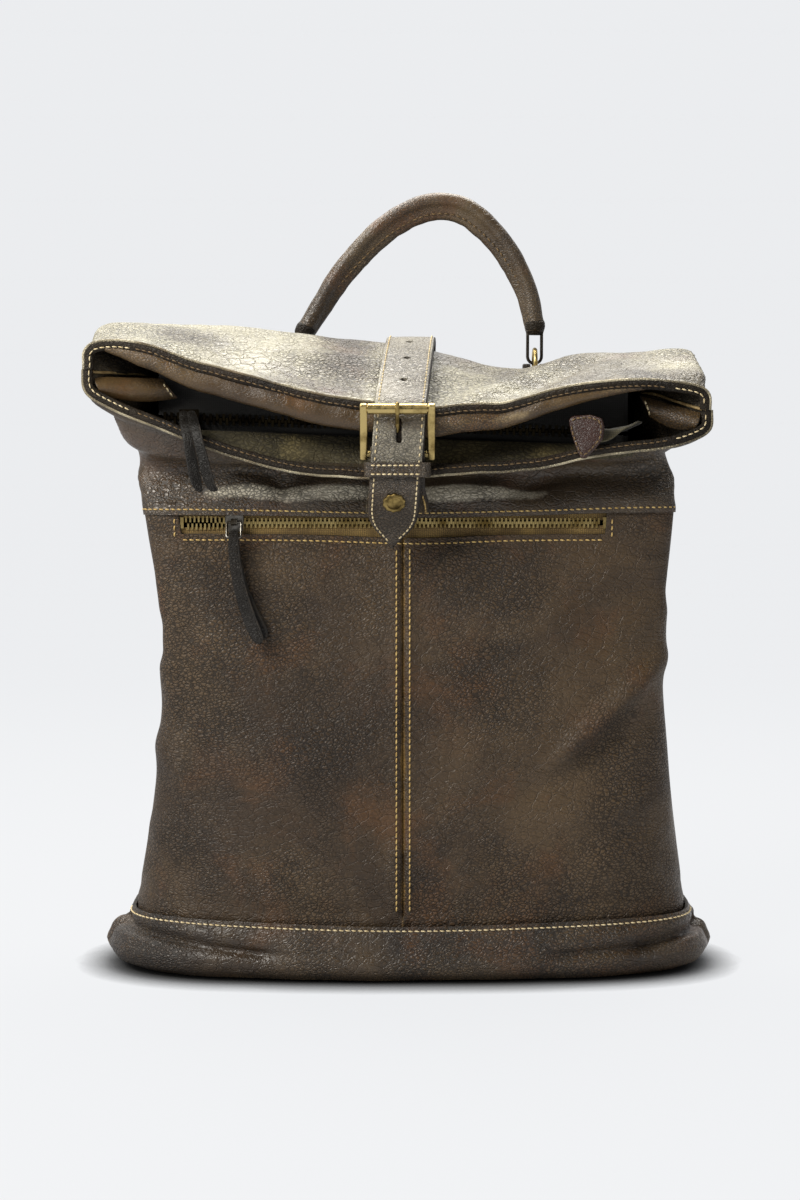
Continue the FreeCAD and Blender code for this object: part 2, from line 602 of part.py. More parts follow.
# ---- handle -------------------------------------------------------------------------------------------------
HANDLE_PATH = ((-69.0, 410.0), (-56.0, 433.0), (-30.0, 462.0), (0.0, 483.0), (28.0, 489.5), (55.0, 481.0),
               (76.0, 459.0), (86.0, 434.0), (87.0, 410.0))


def handle_curve():
    curve = Part.BSplineCurve()
    curve.interpolate([V(x, HANDLE_Y, z) for x, z in HANDLE_PATH])
    return curve


def make_handle():
    spine = Part.Wire(handle_curve().toShape())
    start, towards = V(HANDLE_PATH[0][0], HANDLE_Y, HANDLE_PATH[0][1]), handle_curve().tangent(0)[0]
    rings = [Part.Wire(Part.makeCircle(r, start, towards)) for r in (HANDLE_R, HANDLE_CORE_R, HANDLE_CORE_R - 0.1)]
    outer, bore, core = (spine.makePipeShell([ring], True, False) for ring in rings)
    keep("handle_grip", outer.cut(bore))
    keep("handle_core", core)
    for name, x, end in (("left", RING_X[0], HANDLE_PATH[0]), ("right", RING_X[1], HANDLE_PATH[-1])):
        keep("handle_ring_" + name, handle_ring(x))
        keep("handle_loop_" + name, handle_loop(x, end[1]))
        keep("handle_anchor_" + name, handle_anchor(x))


RING_CENTRE_Y, RING_CENTRE_Z = RING_PIVOT_Y + 1.6, RING_PIVOT_Z + 4.75


def handle_ring(x):
    return Part.makeTorus(RING_R, RING_WIRE, V(x, RING_CENTRE_Y, RING_CENTRE_Z), X_AXIS)


def handle_loop(x, foot_z):
    """A strip folded through the ring, with both ends held in the grip's foot."""
    low = RING_CENTRE_Z + 4.6
    half_turn = Part.makeCylinder(5.6, 7.0, V(x, HANDLE_Y - 3.5, low), Y_AXIS)
    loop = half_turn.fuse(block(x - 5.6, x + 5.6, HANDLE_Y - 3.5, HANDLE_Y + 3.5, low, foot_z - 2.6))
    hole = Part.makeCylinder(3.6, 9.0, V(x, HANDLE_Y - 4.5, low), Y_AXIS)
    hole = hole.fuse(block(x - 3.6, x + 3.6, HANDLE_Y - 4.5, HANDLE_Y + 4.5, low, foot_z - 6.0))
    loop = loop.cut(hole)
    return loop.cut(Part.makeTorus(RING_R, RING_WIRE + 0.1, V(x, RING_CENTRE_Y, RING_CENTRE_Z), X_AXIS))


def handle_anchor(x):
    """A tab sewn to the top flap whose folded end carries the ring."""
    y, z = RING_PIVOT_Y, RING_PIVOT_Z
    pin = bar(V(x - 8, y, z), V(x + 8, y, z), 2.2)
    arms = block(x - 8, x + 8, y - 1.6, y + 1.6, z - 17, z)
    arms = arms.cut(block(x - 2.6, x + 2.6, y - 12, y + 12, z - 15.5, z - 1))
    foot = block(x - 11, x + 11, y - 1.6, y + 1.6, z - 36, z - 16.8)
    return pin.fuse(arms).fuse(foot).removeSplitter()


# ---- shoulder straps ----------------------------------------------------------------------------------------
UPPER_STRAP = ((30.0, 63.6, 326.0), (33.0, 67.0, 306.0), (44.0, 82.0, 262.0), (62.0, 91.0, 212.0),
               (86.0, 92.0, 166.0), (104.0, 89.0, 132.0))
LOWER_STRAP = ((105.0, 85.4, 130.0), (118.0, 84.0, 108.0), (131.0, 81.5, 84.0))


def flat_strap(path, side, width, thick):
    """A flat strap along a path on the back, its faces square to Y."""
    faces = []
    for dy in (0.0, thick):
        grid = []
        for x, y, z in path:
            grid.append([V(side * x + f * width / 2, y + dy, z) for f in (-1, 0, 1)])
        faces.append(grid)
    return sheet(*faces)


def make_shoulder_straps():
    for name, side in (("left", -1), ("right", 1)):
        keep("shoulder_strap_" + name, flat_strap(UPPER_STRAP, side, SHOULDER_WIDTH, SHOULDER_THICK))
        keep("lower_strap_" + name, flat_strap(LOWER_STRAP, side, 25.0, 3.0))
        keep("strap_slider_" + name, strap_slider(side * 105.0))
        keep("lower_ring_" + name, lower_ring(side * 134.0))
        keep("lower_ring_tab_" + name, lower_ring_tab(side * 134.0))
    patch = skin_panel("back", stops(3.05, 3.62, 4), 7, depth=-2.9, thick=2.4, trim=155.0)
    keep("strap_anchor_patch", patch)


def strap_slider(x):
    """A two-bar adjuster that joins the upper strap to the lower one."""
    frame = block(x - 21, x + 21, 84.8, 93.4, 120, 131.6).cut(block(x - 18, x + 18, 80, 99, 122.6, 129.0))
    return frame.cut(block(x - 20, x + 20, 89.0, 94, 129.5, 140)).cut(block(x - 19.6, x + 19.6, 84, 89.4, 118, 140))


def lower_ring(x):
    corners = [V(x - 14, 74, 76), V(x + 14, 74, 76), V(x + 14, 78, 88), V(x - 14, 78, 88)]
    return wire_loop(corners, 1.6)


def lower_ring_tab(x):
    """A folded tab sewn over the base seam that holds the lower ring."""
    sleeve = bar(V(x - 11, 74, 76), V(x + 11, 74, 76), 3.8).cut(bar(V(x - 15, 74, 76), V(x + 15, 74, 76), 1.7))
    return sleeve.fuse(block(x - 11, x + 11, 71, 74.2, 54, 74)).cut(bar(V(x - 15, 74, 76), V(x + 15, 74, 76), 1.7))


def main():
    make_skin()
    make_rim()
    make_base()
    make_linings()
    make_pocket_zip()
    make_main_zip()
    make_closure()
    make_buckle()
    make_handle()
    make_shoulder_straps()
    os.makedirs("parts", exist_ok=True)
    for name, shape in nodes.items():
        shape.exportStep(f"parts/{name}.step")
        print(name, len(shape.Solids), shape.isValid(), round(shape.Volume, 1))


main()
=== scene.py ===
"""Leather roll-top backpack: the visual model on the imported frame. Shapes are worked out in millimetres."""

import math

import bmesh
import bpy
import numpy as np
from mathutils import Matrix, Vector


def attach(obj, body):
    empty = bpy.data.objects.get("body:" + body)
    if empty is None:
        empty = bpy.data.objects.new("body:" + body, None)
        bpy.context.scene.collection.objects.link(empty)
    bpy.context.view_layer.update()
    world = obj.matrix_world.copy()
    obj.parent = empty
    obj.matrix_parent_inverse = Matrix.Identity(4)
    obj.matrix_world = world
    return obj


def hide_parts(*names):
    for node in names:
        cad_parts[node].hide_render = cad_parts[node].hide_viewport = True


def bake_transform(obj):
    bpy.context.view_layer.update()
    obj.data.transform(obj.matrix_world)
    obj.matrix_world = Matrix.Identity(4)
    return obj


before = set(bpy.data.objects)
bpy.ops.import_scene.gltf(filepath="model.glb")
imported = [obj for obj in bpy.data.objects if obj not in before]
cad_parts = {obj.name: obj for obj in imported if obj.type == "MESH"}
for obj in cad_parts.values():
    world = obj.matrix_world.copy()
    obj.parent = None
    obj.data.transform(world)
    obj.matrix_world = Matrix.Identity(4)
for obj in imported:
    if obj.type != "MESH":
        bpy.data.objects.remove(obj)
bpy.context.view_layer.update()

MM = 0.001
scene = bpy.context.scene

# ---- camera, floor and light ---------------------------------------------------------------------
camera_data = bpy.data.cameras.new("Camera")
camera = bpy.data.objects.new("Camera", camera_data)
scene.collection.objects.link(camera)
scene.camera = camera
camera.location = (-0.0019, -1.5, 0.353)
camera.rotation_euler = (math.radians(90 - 4.537), 0, 0)
camera_data.lens = 70.3
camera_data.sensor_width = 36
scene.view_settings.view_transform = "Standard"

PI = math.pi
BACKDROP_GLOW = 0.94
# Reach and sharpness of the painted contact shadow on the backdrop.
PAINTED_SHADOW_REACH, PAINTED_SHADOW_POWER = 0.025, 3.0
SKY_COLOUR = (0.93, 0.95, 1.0, 1)
SKY_SEEN, SKY_LIGHT = 0.82, 0.10
WARM = (1.0, 0.975, 0.92)


def smooth(t):
    t = np.clip(t, 0.0, 1.0)
    return t * t * (3 - 2 * t)


def new_object(name, mesh):
    obj = bpy.data.objects.new(name, mesh)
    scene.collection.objects.link(obj)
    return obj


def backdrop():
    """A seamless pale sweep that glows evenly, with a painted contact shadow: its glow is darkened close to what
    stands on it.
    """
    outline = [(-4.0, 0.0), (1.6, 0.0)]
    outline += [(1.6 + math.sin(a) * 1.2, 1.2 - math.cos(a) * 1.2) for a in np.linspace(0.1, PI / 2, 12)]
    outline += [(2.8, 5.0)]
    verts = [(x, y, z) for y, z in outline for x in (-5.0, 5.0)]
    faces = [(2 * i, 2 * i + 1, 2 * i + 3, 2 * i + 2) for i in range(len(outline) - 1)]
    mesh = bpy.data.meshes.new("Backdrop")
    mesh.from_pydata(verts, [], faces)
    for face in mesh.polygons:
        face.use_smooth = True
    sweep_obj = new_object("Backdrop", mesh)
    material = bpy.data.materials.new("Backdrop")
    material.use_nodes = True
    nodes, links = material.node_tree.nodes, material.node_tree.links
    shader = nodes["Principled BSDF"]
    shader.inputs["Base Color"].default_value = (0.035, 0.035, 0.035, 1)
    shader.inputs["Roughness"].default_value = 0.9
    shader.inputs["Specular IOR Level"].default_value = 0.0
    shader.inputs["Emission Color"].default_value = (0.868, 0.880, 0.900, 1)
    # Painted contact shadow: ambient occlusion cuts the glow close to what stands on the backdrop.
    near = nodes.new("ShaderNodeAmbientOcclusion")
    near.samples = 8
    near.inputs["Distance"].default_value = PAINTED_SHADOW_REACH
    painted_shadow = nodes.new("ShaderNodeMath")
    painted_shadow.operation = "POWER"
    links.new(near.outputs["AO"], painted_shadow.inputs[0])
    painted_shadow.inputs[1].default_value = PAINTED_SHADOW_POWER
    glow = nodes.new("ShaderNodeMath")
    glow.operation = "MULTIPLY"
    links.new(painted_shadow.outputs[0], glow.inputs[0])
    glow.inputs[1].default_value = BACKDROP_GLOW
    links.new(glow.outputs[0], shader.inputs["Emission Strength"])
    mesh.materials.append(material)


def area_light(name, place, aim, size, power, colour=(1, 1, 1)):
    data = bpy.data.lights.new(name, "AREA")
    data.shape = "RECTANGLE"
    data.size, data.size_y = size
    data.energy = power
    data.color = colour
    obj = bpy.data.objects.new(name, data)
    scene.collection.objects.link(obj)
    obj.location = place
    obj.rotation_euler = (Vector(aim) - Vector(place)).to_track_quat("-Z", "Y").to_euler()
    return obj


def make_world():
    """A dim even sky that the camera sees as pale, so that views from behind keep a pale background."""
    world = bpy.data.worlds.new("World")
    scene.world = world
    world.use_nodes = True
    nodes, links = world.node_tree.nodes, world.node_tree.links
    nodes["Background"].inputs["Color"].default_value = SKY_COLOUR
    scale = nodes.new("ShaderNodeMath")
    scale.operation = "MULTIPLY_ADD"
    links.new(nodes.new("ShaderNodeLightPath").outputs["Is Camera Ray"], scale.inputs[0])
    scale.inputs[1].default_value = SKY_SEEN
    scale.inputs[2].default_value = SKY_LIGHT
    links.new(scale.outputs[0], nodes["Background"].inputs["Strength"])


backdrop()
make_world()
area_light("Top", (-0.1, 0.42, 1.4), (-0.02, -0.05, 0.3), (1.4, 0.9), 36, WARM)
area_light("FrontHigh", (-0.95, -1.0, 1.35), (-0.04, -0.05, 0.26), (1.1, 0.6), 32, WARM)
area_light("FrontLeft", (-1.35, -1.0, 0.7), (0, 0, 0.2), (0.5, 1.1), 8, WARM)
area_light("FrontRight", (1.5, -0.9, 0.7), (0, 0, 0.2), (0.4, 1.1), 2, WARM)

# ---- noise, meshes and modifiers -----------------------------------------------------------------


def noise(p, scale, seed=0):
    """Value noise between -1 and 1 at points p, with features of that size."""
    q = np.asarray(p, float) / scale + seed * 17.31
    cell = np.floor(q).astype(np.int64)
    f = q - cell
    f = f * f * (3 - 2 * f)
    total = 0.0
    for dx in (0, 1):
        for dy in (0, 1):
            for dz in (0, 1):
                c = cell + np.array([dx, dy, dz])
                h = (c[..., 0] * 73856093) ^ (c[..., 1] * 19349663) ^ (c[..., 2] * 83492791) ^ (seed * 7919)
                h = ((h & 0x7FFFFFFF) * 1103515245 + 12345) & 0x7FFFFFFF
                h = ((h >> 7) * 48271) & 0x7FFFFFFF
                value = h / 0x3FFFFFFF - 1.0
                wx = f[..., 0] if dx else 1 - f[..., 0]
                wy = f[..., 1] if dy else 1 - f[..., 1]
                wz = f[..., 2] if dz else 1 - f[..., 2]
                total = total + value * wx * wy * wz
    return total


def unit(v):
    return v / np.maximum(np.linalg.norm(v, axis=-1, keepdims=True), 1e-9)


def face_outward(obj):
    """Turns the faces of a closed mesh outward."""
    work = bmesh.new()
    work.from_mesh(obj.data)
    bmesh.ops.recalc_face_normals(work, faces=work.faces)
    work.to_mesh(obj.data)
    work.free()
    return obj


def rounded(obj):
    """Smooths a coarse mesh by one level of subdivision."""
    smoothing = obj.modifiers.new("Smooth", "SUBSURF")
    smoothing.levels = smoothing.render_levels = 1
    return obj


def lined(obj):
    """Gives a wall its second material inside and its third on the cut edge."""
    obj.modifiers["Thickness"].material_offset = 1
    obj.modifiers["Thickness"].material_offset_rim = 2
    return obj


def catmull_rom(a, b, c, d, t):
    """The point at t between b and c."""
    return 0.5 * (2 * b + (c - a) * t + (2 * a - 5 * b + 4 * c - d) * t ** 2
                  + (3 * b - a - 3 * c + d) * t ** 3)


def superellipse(theta, power):
    """Across and depth, each between -1 and 1, at those angles."""
    c, d = np.cos(theta), np.sin(theta)
    size = (np.abs(c) ** power + np.abs(d) ** power) ** (1 / power)
    return c / size, d / size


def place(obj, body="bag", replaces=(), slot=None):
    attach(obj, body)
    if replaces:
        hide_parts(*replaces)
    return obj


def mesh_of(name, verts, faces, materials, face_material=None, wear_and_sheen=None):
    """A smooth-shaded mesh from millimetre points, with a value per point that the materials read: real rubbing and,
    on some pieces, a painted highlight.
    """
    mesh = bpy.data.meshes.new(name)
    mesh.from_pydata([tuple(v) for v in (np.asarray(verts, float) * MM)], [], faces)
    for material in materials:
        mesh.materials.append(material)
    mesh.polygons.foreach_set("use_smooth", [True] * len(mesh.polygons))
    if face_material is not None:
        mesh.polygons.foreach_set("material_index", list(face_material))
    layer = mesh.attributes.new("wear_and_sheen", "FLOAT", "POINT")
    if wear_and_sheen is not None:
        layer.data.foreach_set("value", np.asarray(wear_and_sheen, np.float32).ravel())
    mesh.update()
    return new_object(name, mesh)


def grid_faces(rows, cols, wrap=False, keep=None, flip=False):
    faces = []
    for i in range(rows - 1):
        for j in range(cols if wrap else cols - 1):
            k = (j + 1) % cols
            if keep is not None and not keep[i, j]:
                continue
            quad = (i * cols + j, i * cols + k, (i + 1) * cols + k, (i + 1) * cols + j)
            faces.append(quad[::-1] if flip else quad)
    return faces


def sheet(name, grid, materials, thick=2.0, keep=None, flip=False, wear_and_sheen=None, bevel=0.5, wrap=False):
    """A leather sheet whose outer face is the grid. Its cut edge takes the second material."""
    rows, cols = grid.shape[:2]
    obj = mesh_of(name, grid.reshape(-1, 3), grid_faces(rows, cols, wrap, keep, flip), materials, None, wear_and_sheen)
    if keep is not None:
        work = bmesh.new()
        work.from_mesh(obj.data)
        loose = [v for v in work.verts if not v.link_faces]
        bmesh.ops.delete(work, geom=loose, context="VERTS")
        work.to_mesh(obj.data)
        work.free()
    if thick:
        solid = obj.modifiers.new("Thickness", "SOLIDIFY")
        solid.thickness = thick * MM
        solid.offset = -1
        if len(materials) > 1:
            solid.material_offset_rim = 1
    if bevel:
        soften = obj.modifiers.new("Edge", "BEVEL")
        soften.width = bevel * MM
        soften.segments = 2
        soften.limit_method = "ANGLE"
        soften.angle_limit = math.radians(50)
        soften.harden_normals = False
    return obj


def sweep(name, path, normals, section, materials, closed=False, wear_and_sheen=None):
    """A solid swept along a path. section is (points, 2) or (path, points, 2): across and out, in millimetres."""
    path, normals = np.asarray(path, float), unit(np.asarray(normals, float))
    section = np.asarray(section, float)
    if section.ndim == 2:
        section = np.broadcast_to(section, (len(path),) + section.shape)
    if closed:
        tangent = unit(np.roll(path, -1, 0) - np.roll(path, 1, 0))
    else:
        tangent = unit(np.gradient(path, axis=0))
    across = unit(np.cross(tangent, normals))
    out = unit(np.cross(across, tangent))
    verts = (path[:, None] + across[:, None] * section[..., :1] + out[:, None] * section[..., 1:]).reshape(-1, 3)
    rows, cols = len(path), section.shape[1]
    faces = grid_faces(rows, cols, wrap=True)
    if closed:
        last = (rows - 1) * cols
        faces += [(last + j, last + (j + 1) % cols, (j + 1) % cols, j) for j in range(cols)]
    else:
        faces += [tuple(range(cols))[::-1], tuple((rows - 1) * cols + j for j in range(cols))]
    return face_outward(mesh_of(name, verts, faces, materials, None, wear_and_sheen))


STRAP_EDGE = 0.45


def strap_section(width, thick, crown=0.0):
    """A flat strap's section with softened edges: across from -width/2 to width/2, out from 0 to thick."""
    w, r = width / 2, thick * STRAP_EDGE
    points = []
    for cx, cz, start in ((w - r, r, -90), (w - r, thick - r, 0)):
        points += [(cx + r * math.cos(math.radians(a)), cz + r * math.sin(math.radians(a)))
                   for a in np.linspace(start, start + 90, 4)]
    points += [(x, thick + crown * (1 - (x / w) ** 2)) for x in np.linspace(w - 2 * r, -w + 2 * r, 9)]
    for cx, cz, start in ((-w + r, thick - r, 90), (-w + r, r, 180)):
        points += [(cx + r * math.cos(math.radians(a)), cz + r * math.sin(math.radians(a)))
                   for a in np.linspace(start, start + 90, 4)]
    points += [(x, 0.0) for x in np.linspace(-w + 2 * r, w - 2 * r, 5)]
    return np.array(points)


def circle(radius, count=14):
    return np.array([(radius * math.cos(a), radius * math.sin(a)) for a in np.linspace(0, 2 * PI, count, False)])


def resample(path, step=None, count=None):
    path = np.asarray(path, float)
    lengths = np.concatenate([[0], np.cumsum(np.linalg.norm(np.diff(path[:, :3], axis=0), axis=1))])
    count = count or max(2, int(round(lengths[-1] / step)) + 1)
    at = np.linspace(0, lengths[-1], count)
    return np.stack([np.interp(at, lengths, path[:, k]) for k in range(path.shape[1])], 1)


def spline(points, count):
    """A Catmull-Rom curve through the points."""
    p = np.asarray(points, float)
    p = np.vstack([2 * p[0] - p[1], p, 2 * p[-1] - p[-2]])
    found = []
    for i in range(len(p) - 3):
        t = np.linspace(0, 1, 24, endpoint=i == len(p) - 4)[:, None]
        a, b, c, d = p[i:i + 4]
        found.append(catmull_rom(a, b, c, d, t))
    return resample(np.vstack(found), count=count)


def stitches(name, rows, material, body="bag", pitch=3.9, length=3.05, radius=0.5, slant=0.25):
    """Rows of thread; each row is (points, normals) along the stitched line on the leather."""
    rise = np.array([-0.35, 0.25, 0.42, 0.25, -0.35])
    girth = np.array([0.55, 0.95, 1.0, 0.95, 0.55])
    verts, faces, base = [], [], 0
    for points, normals in rows:
        both = resample(np.hstack([points, normals]), step=pitch / 4)
        p, n = both[:, :3], unit(both[:, 3:])
        for k in range(1, len(p) - 4, 4):
            a, b = p[k], p[min(k + 3, len(p) - 1)]
            along = unit(b - a)
            up = n[k + 1]
            side = unit(np.cross(along, up))
            middle = (a + b) / 2
            line = unit(along + side * slant * 0.35)
            ring = []
            for t, h, g in zip(np.linspace(-0.5, 0.5, 5), rise, girth):
                centre = middle + line * (t * length) + up * h
                for q in range(6):
                    angle = q * PI / 3
                    ring.append(centre + (side * math.cos(angle) + up * math.sin(angle)) * radius * g)
            verts += ring
            for i in range(4):
                for q in range(6):
                    r = (q + 1) % 6
                    near, far = base + i * 6, base + (i + 1) * 6
                    faces.append((near + q, near + r, far + r, far + q))
            faces.append(tuple(base + q for q in range(6))[::-1])
            faces.append(tuple(base + 24 + q for q in range(6)))
            base += 30
    obj = mesh_of(name, verts, faces, [material])
    return place(obj, body)


# ---- materials -----------------------------------------------------------------------------------
def srgb(r, g, b):
    """A linear colour with full opacity from display values of 0 to 255."""
    linear = ((c / 255 / 12.92) if c <= 10 else (((c / 255) + 0.055) / 1.055) ** 2.4 for c in (r, g, b))
    return tuple(linear) + (1.0,)


class Shader:
    """A small helper for node materials."""

    def __init__(self, name):
        self.material = bpy.data.materials.new(name)
        self.material.use_nodes = True
        self.tree = self.material.node_tree
        self.bsdf = self.tree.nodes["Principled BSDF"]
        self.coords = self.tree.nodes.new("ShaderNodeTexCoord").outputs["Object"]

    def node(self, kind, **inputs):
        node = self.tree.nodes.new(kind)
        for key, value in inputs.items():
            self.put(node.inputs[key.replace("_", " ")], value)
        return node

    def put(self, socket, value):
        if isinstance(value, bpy.types.NodeSocket):
            self.tree.links.new(value, socket)
        else:
            socket.default_value = value

    def noise(self, scale, detail=4.0, rough=0.55, distort=0.0, vector=None):
        node = self.node("ShaderNodeTexNoise", Scale=scale, Detail=detail, Roughness=rough, Distortion=distort)
        self.put(node.inputs["Vector"], vector or self.coords)
        return node.outputs["Fac"]

    def cells(self, scale, vector):
        node = self.node("ShaderNodeTexVoronoi")
        node.feature = "DISTANCE_TO_EDGE"
        node.inputs["Scale"].default_value = scale
        self.put(node.inputs["Vector"], vector)
        return node.outputs["Distance"]

    def ramp(self, value, low, high, start=0.0, end=1.0):
        node = self.node("ShaderNodeMapRange", Value=value)
        node.inputs["From Min"].default_value = low
        node.inputs["From Max"].default_value = high
        node.inputs["To Min"].default_value = start
        node.inputs["To Max"].default_value = end
        node.interpolation_type = "SMOOTHSTEP"
        return node.outputs["Result"]

    def mix(self, fac, a, b):
        node = self.tree.nodes.new("ShaderNodeMix")
        node.data_type = "RGBA"
        self.put(node.inputs[0], fac)
        self.put(node.inputs[6], a)
        self.put(node.inputs[7], b)
        return node.outputs[2]

    def math(self, operation, a, b=0.0):
        node = self.tree.nodes.new("ShaderNodeMath")
        node.operation = operation
        self.put(node.inputs[0], a)
        self.put(node.inputs[1], b)
        return node.outputs[0]

    def stretch(self, scale, bend=0.0):
        node = self.tree.nodes.new("ShaderNodeMapping")
        self.put(node.inputs["Vector"], self.coords)
        node.inputs["Scale"].default_value = scale
        node.inputs["Rotation"].default_value = (0, bend, 0)
        return node.outputs["Vector"]

    def wear_and_sheen(self):
        node = self.tree.nodes.new("ShaderNodeAttribute")
        node.attribute_name = "wear_and_sheen"
        return node.outputs["Fac"]

    def bump(self, height, strength, distance, normal=None):
        node = self.node("ShaderNodeBump", Height=height, Strength=strength, Distance=distance)
        if normal is not None:
            self.put(node.inputs["Normal"], normal)
        return node.outputs["Normal"]

    def finish(self, colour, roughness, normal=None, metallic=0.0, **others):
        self.put(self.bsdf.inputs["Base Color"], colour)
        self.put(self.bsdf.inputs["Roughness"], roughness)
        self.bsdf.inputs["Metallic"].default_value = metallic
        if normal is not None:
            self.put(self.bsdf.inputs["Normal"], normal)
        for key, value in others.items():
            self.bsdf.inputs[key.replace("_", " ")].default_value = value
        return self.material


def leather(name, dark, mid, warm, worn_and_sheen, grain=1.0, crease=0.35, shine=0.42, worn_and_sheen_from=0.45, mottle=1.0, spec=0.5,
            relief=1.0):
    """Pebbled, waxed leather. The fourth colour shows where the per-point value is high, on the high spots between
    the darkened pits: real rubbing at edges and seams, and on the yoke, the top flap, the upper facing, the lip
    edges and the handle partly a painted highlight.
    """
    s = Shader(name)
    patches = s.noise(7.0, 6.0, 0.62, 0.8)
    blotch = s.noise(19.0, 5.0, 0.65, 0.5)
    colour = s.mix(s.ramp(patches, 0.38, 0.62, 0.0, mottle), dark, mid)
    colour = s.mix(s.ramp(blotch, 0.50, 0.68, 0.0, 0.85 * mottle), colour, warm)
    jitter = s.node("ShaderNodeTexNoise", Scale=170.0, Detail=2.0)
    s.put(jitter.inputs["Vector"], s.coords)
    shift = s.tree.nodes.new("ShaderNodeVectorMath")
    shift.operation = "SCALE"
    s.put(shift.inputs[0], jitter.outputs["Color"])
    shift.inputs["Scale"].default_value = 0.004
    wobble = s.tree.nodes.new("ShaderNodeVectorMath")
    wobble.operation = "ADD"
    s.put(wobble.inputs[0], s.stretch((0.8, 1.0, 1.25), 0.35))
    s.put(wobble.inputs[1], shift.outputs[0])
    pebbles = s.ramp(s.cells(430.0 / grain, vector=wobble.outputs[0]), 0.0, 0.30)
    coarse = s.ramp(s.cells(150.0 / grain, vector=wobble.outputs[0]), 0.0, 0.07)
    presence = s.ramp(s.noise(13.0, 3.0), 0.36, 0.62, 0.30, 1.0)
    height = s.math("MULTIPLY", pebbles, presence)
    height = s.math("ADD", height, s.math("MULTIPLY", coarse, crease * 2.0))
    height = s.math("ADD", height, s.math("MULTIPLY", s.noise(1300.0, 2.0), 0.12))
    wear_and_sheen = s.wear_and_sheen()
    rubbed_and_sheen = s.math("ADD", wear_and_sheen, s.math("MULTIPLY", s.math("SUBTRACT", s.noise(60.0, 5.0, 0.65), 0.5), 0.8))
    # The pale fourth colour: real rubbing, and where the per-point value carries it, a painted highlight.
    colour = s.mix(s.ramp(rubbed_and_sheen, worn_and_sheen_from, worn_and_sheen_from + 0.45), colour, worn_and_sheen)
    pits = s.math("MULTIPLY", s.ramp(pebbles, 0.0, 0.7), s.ramp(coarse, 0.0, 1.0, 1.0 - crease * 0.6, 1.0))
    darkening = s.math("MULTIPLY", s.math("SUBTRACT", 1.0, pits), presence)
    colour = s.mix(s.math("MULTIPLY", darkening, 0.75), colour, (0.006, 0.005, 0.004, 1))
    rough = s.math("ADD", s.ramp(s.noise(30.0, 5.0, 0.65), 0.3, 0.7, shine - 0.09, shine + 0.13),
                   s.math("MULTIPLY", darkening, 0.25))
    normal = s.bump(height, 0.75, 0.00055 * relief)
    normal = s.bump(s.noise(85.0, 5.0, 0.6), 0.5, 0.0018 * relief, normal)
    return s.finish(colour, rough, normal, Specular_IOR_Level=spec)


def plain(name, colour, other, roughness, scale=80.0, bump=0.3, distance=0.0003, **others):
    s = Shader(name)
    pattern = s.noise(scale, 5.0, 0.6)
    mixed = s.mix(s.ramp(pattern, 0.35, 0.65), colour, other)
    rough = s.ramp(s.noise(scale * 0.6, 4.0), 0.3, 0.7, roughness - 0.07, roughness + 0.07)
    return s.finish(mixed, rough, s.bump(pattern, bump, distance), **others)


def brass(name, bright, dull, roughness):
    """Aged brass: dull in patches and in fine scratches."""
    s = Shader(name)
    tarnish = s.ramp(s.noise(55.0, 5.0, 0.65), 0.42, 0.66)
    colour = s.mix(tarnish, bright, dull)
    rough = s.math("ADD", s.ramp(s.noise(300.0, 3.0), 0.3, 0.7, roughness - 0.06, roughness + 0.08),
                   s.math("MULTIPLY", tarnish, 0.12))
    scratches = s.noise(900.0, 2.0, vector=s.stretch((1.0, 0.15, 0.2)))
    return s.finish(colour, rough, s.bump(scratches, 0.12, 0.0001), 1.0)


def woven(name, colour, other, scale=1500.0):
    s = Shader(name)
    waves = []
    for direction in ("X", "Z"):
        node = s.tree.nodes.new("ShaderNodeTexWave")
        node.bands_direction = direction
        node.inputs["Scale"].default_value = scale / 6.3
        node.inputs["Distortion"].default_value = 0.6
        s.put(node.inputs["Vector"], s.coords)
        waves.append(node.outputs["Fac"])
    weave = s.math("MULTIPLY", waves[0], waves[1])
    mixed = s.mix(s.ramp(s.noise(60.0), 0.35, 0.65), colour, other)
    mixed = s.mix(s.ramp(weave, 0.0, 0.6, 0.5, 1.0), (0.0, 0.0, 0.0, 1), mixed)
    return s.finish(mixed, 0.85, s.bump(weave, 0.5, 0.0002), Sheen_Weight=0.3)


OCHRE = srgb(122, 94, 46)
CREAM_EDGE = srgb(166, 150, 118)
body_leather = leather("BodyLeather", srgb(56, 43, 29), srgb(86, 69, 48), srgb(84, 58, 34), OCHRE,
                       spec=0.34, mottle=0.85)
# The pale round edge of both lips: partly scuffed leather, partly a painted highlight.
rim_leather = leather("RimLeather", srgb(96, 84, 62), srgb(150, 138, 110), srgb(120, 100, 70), srgb(196, 184, 154),
                      grain=0.6, crease=0.1, shine=0.38, worn_and_sheen_from=0.3)
# The yoke's pale fourth colour paints its lip edge and a painted highlight band along its lower slope.
yoke_leather = leather("YokeLeather", srgb(50, 39, 27), srgb(80, 66, 48), srgb(78, 56, 36), srgb(196, 187, 166),
                       worn_and_sheen_from=0.58, shine=0.36, spec=0.6, relief=0.8)
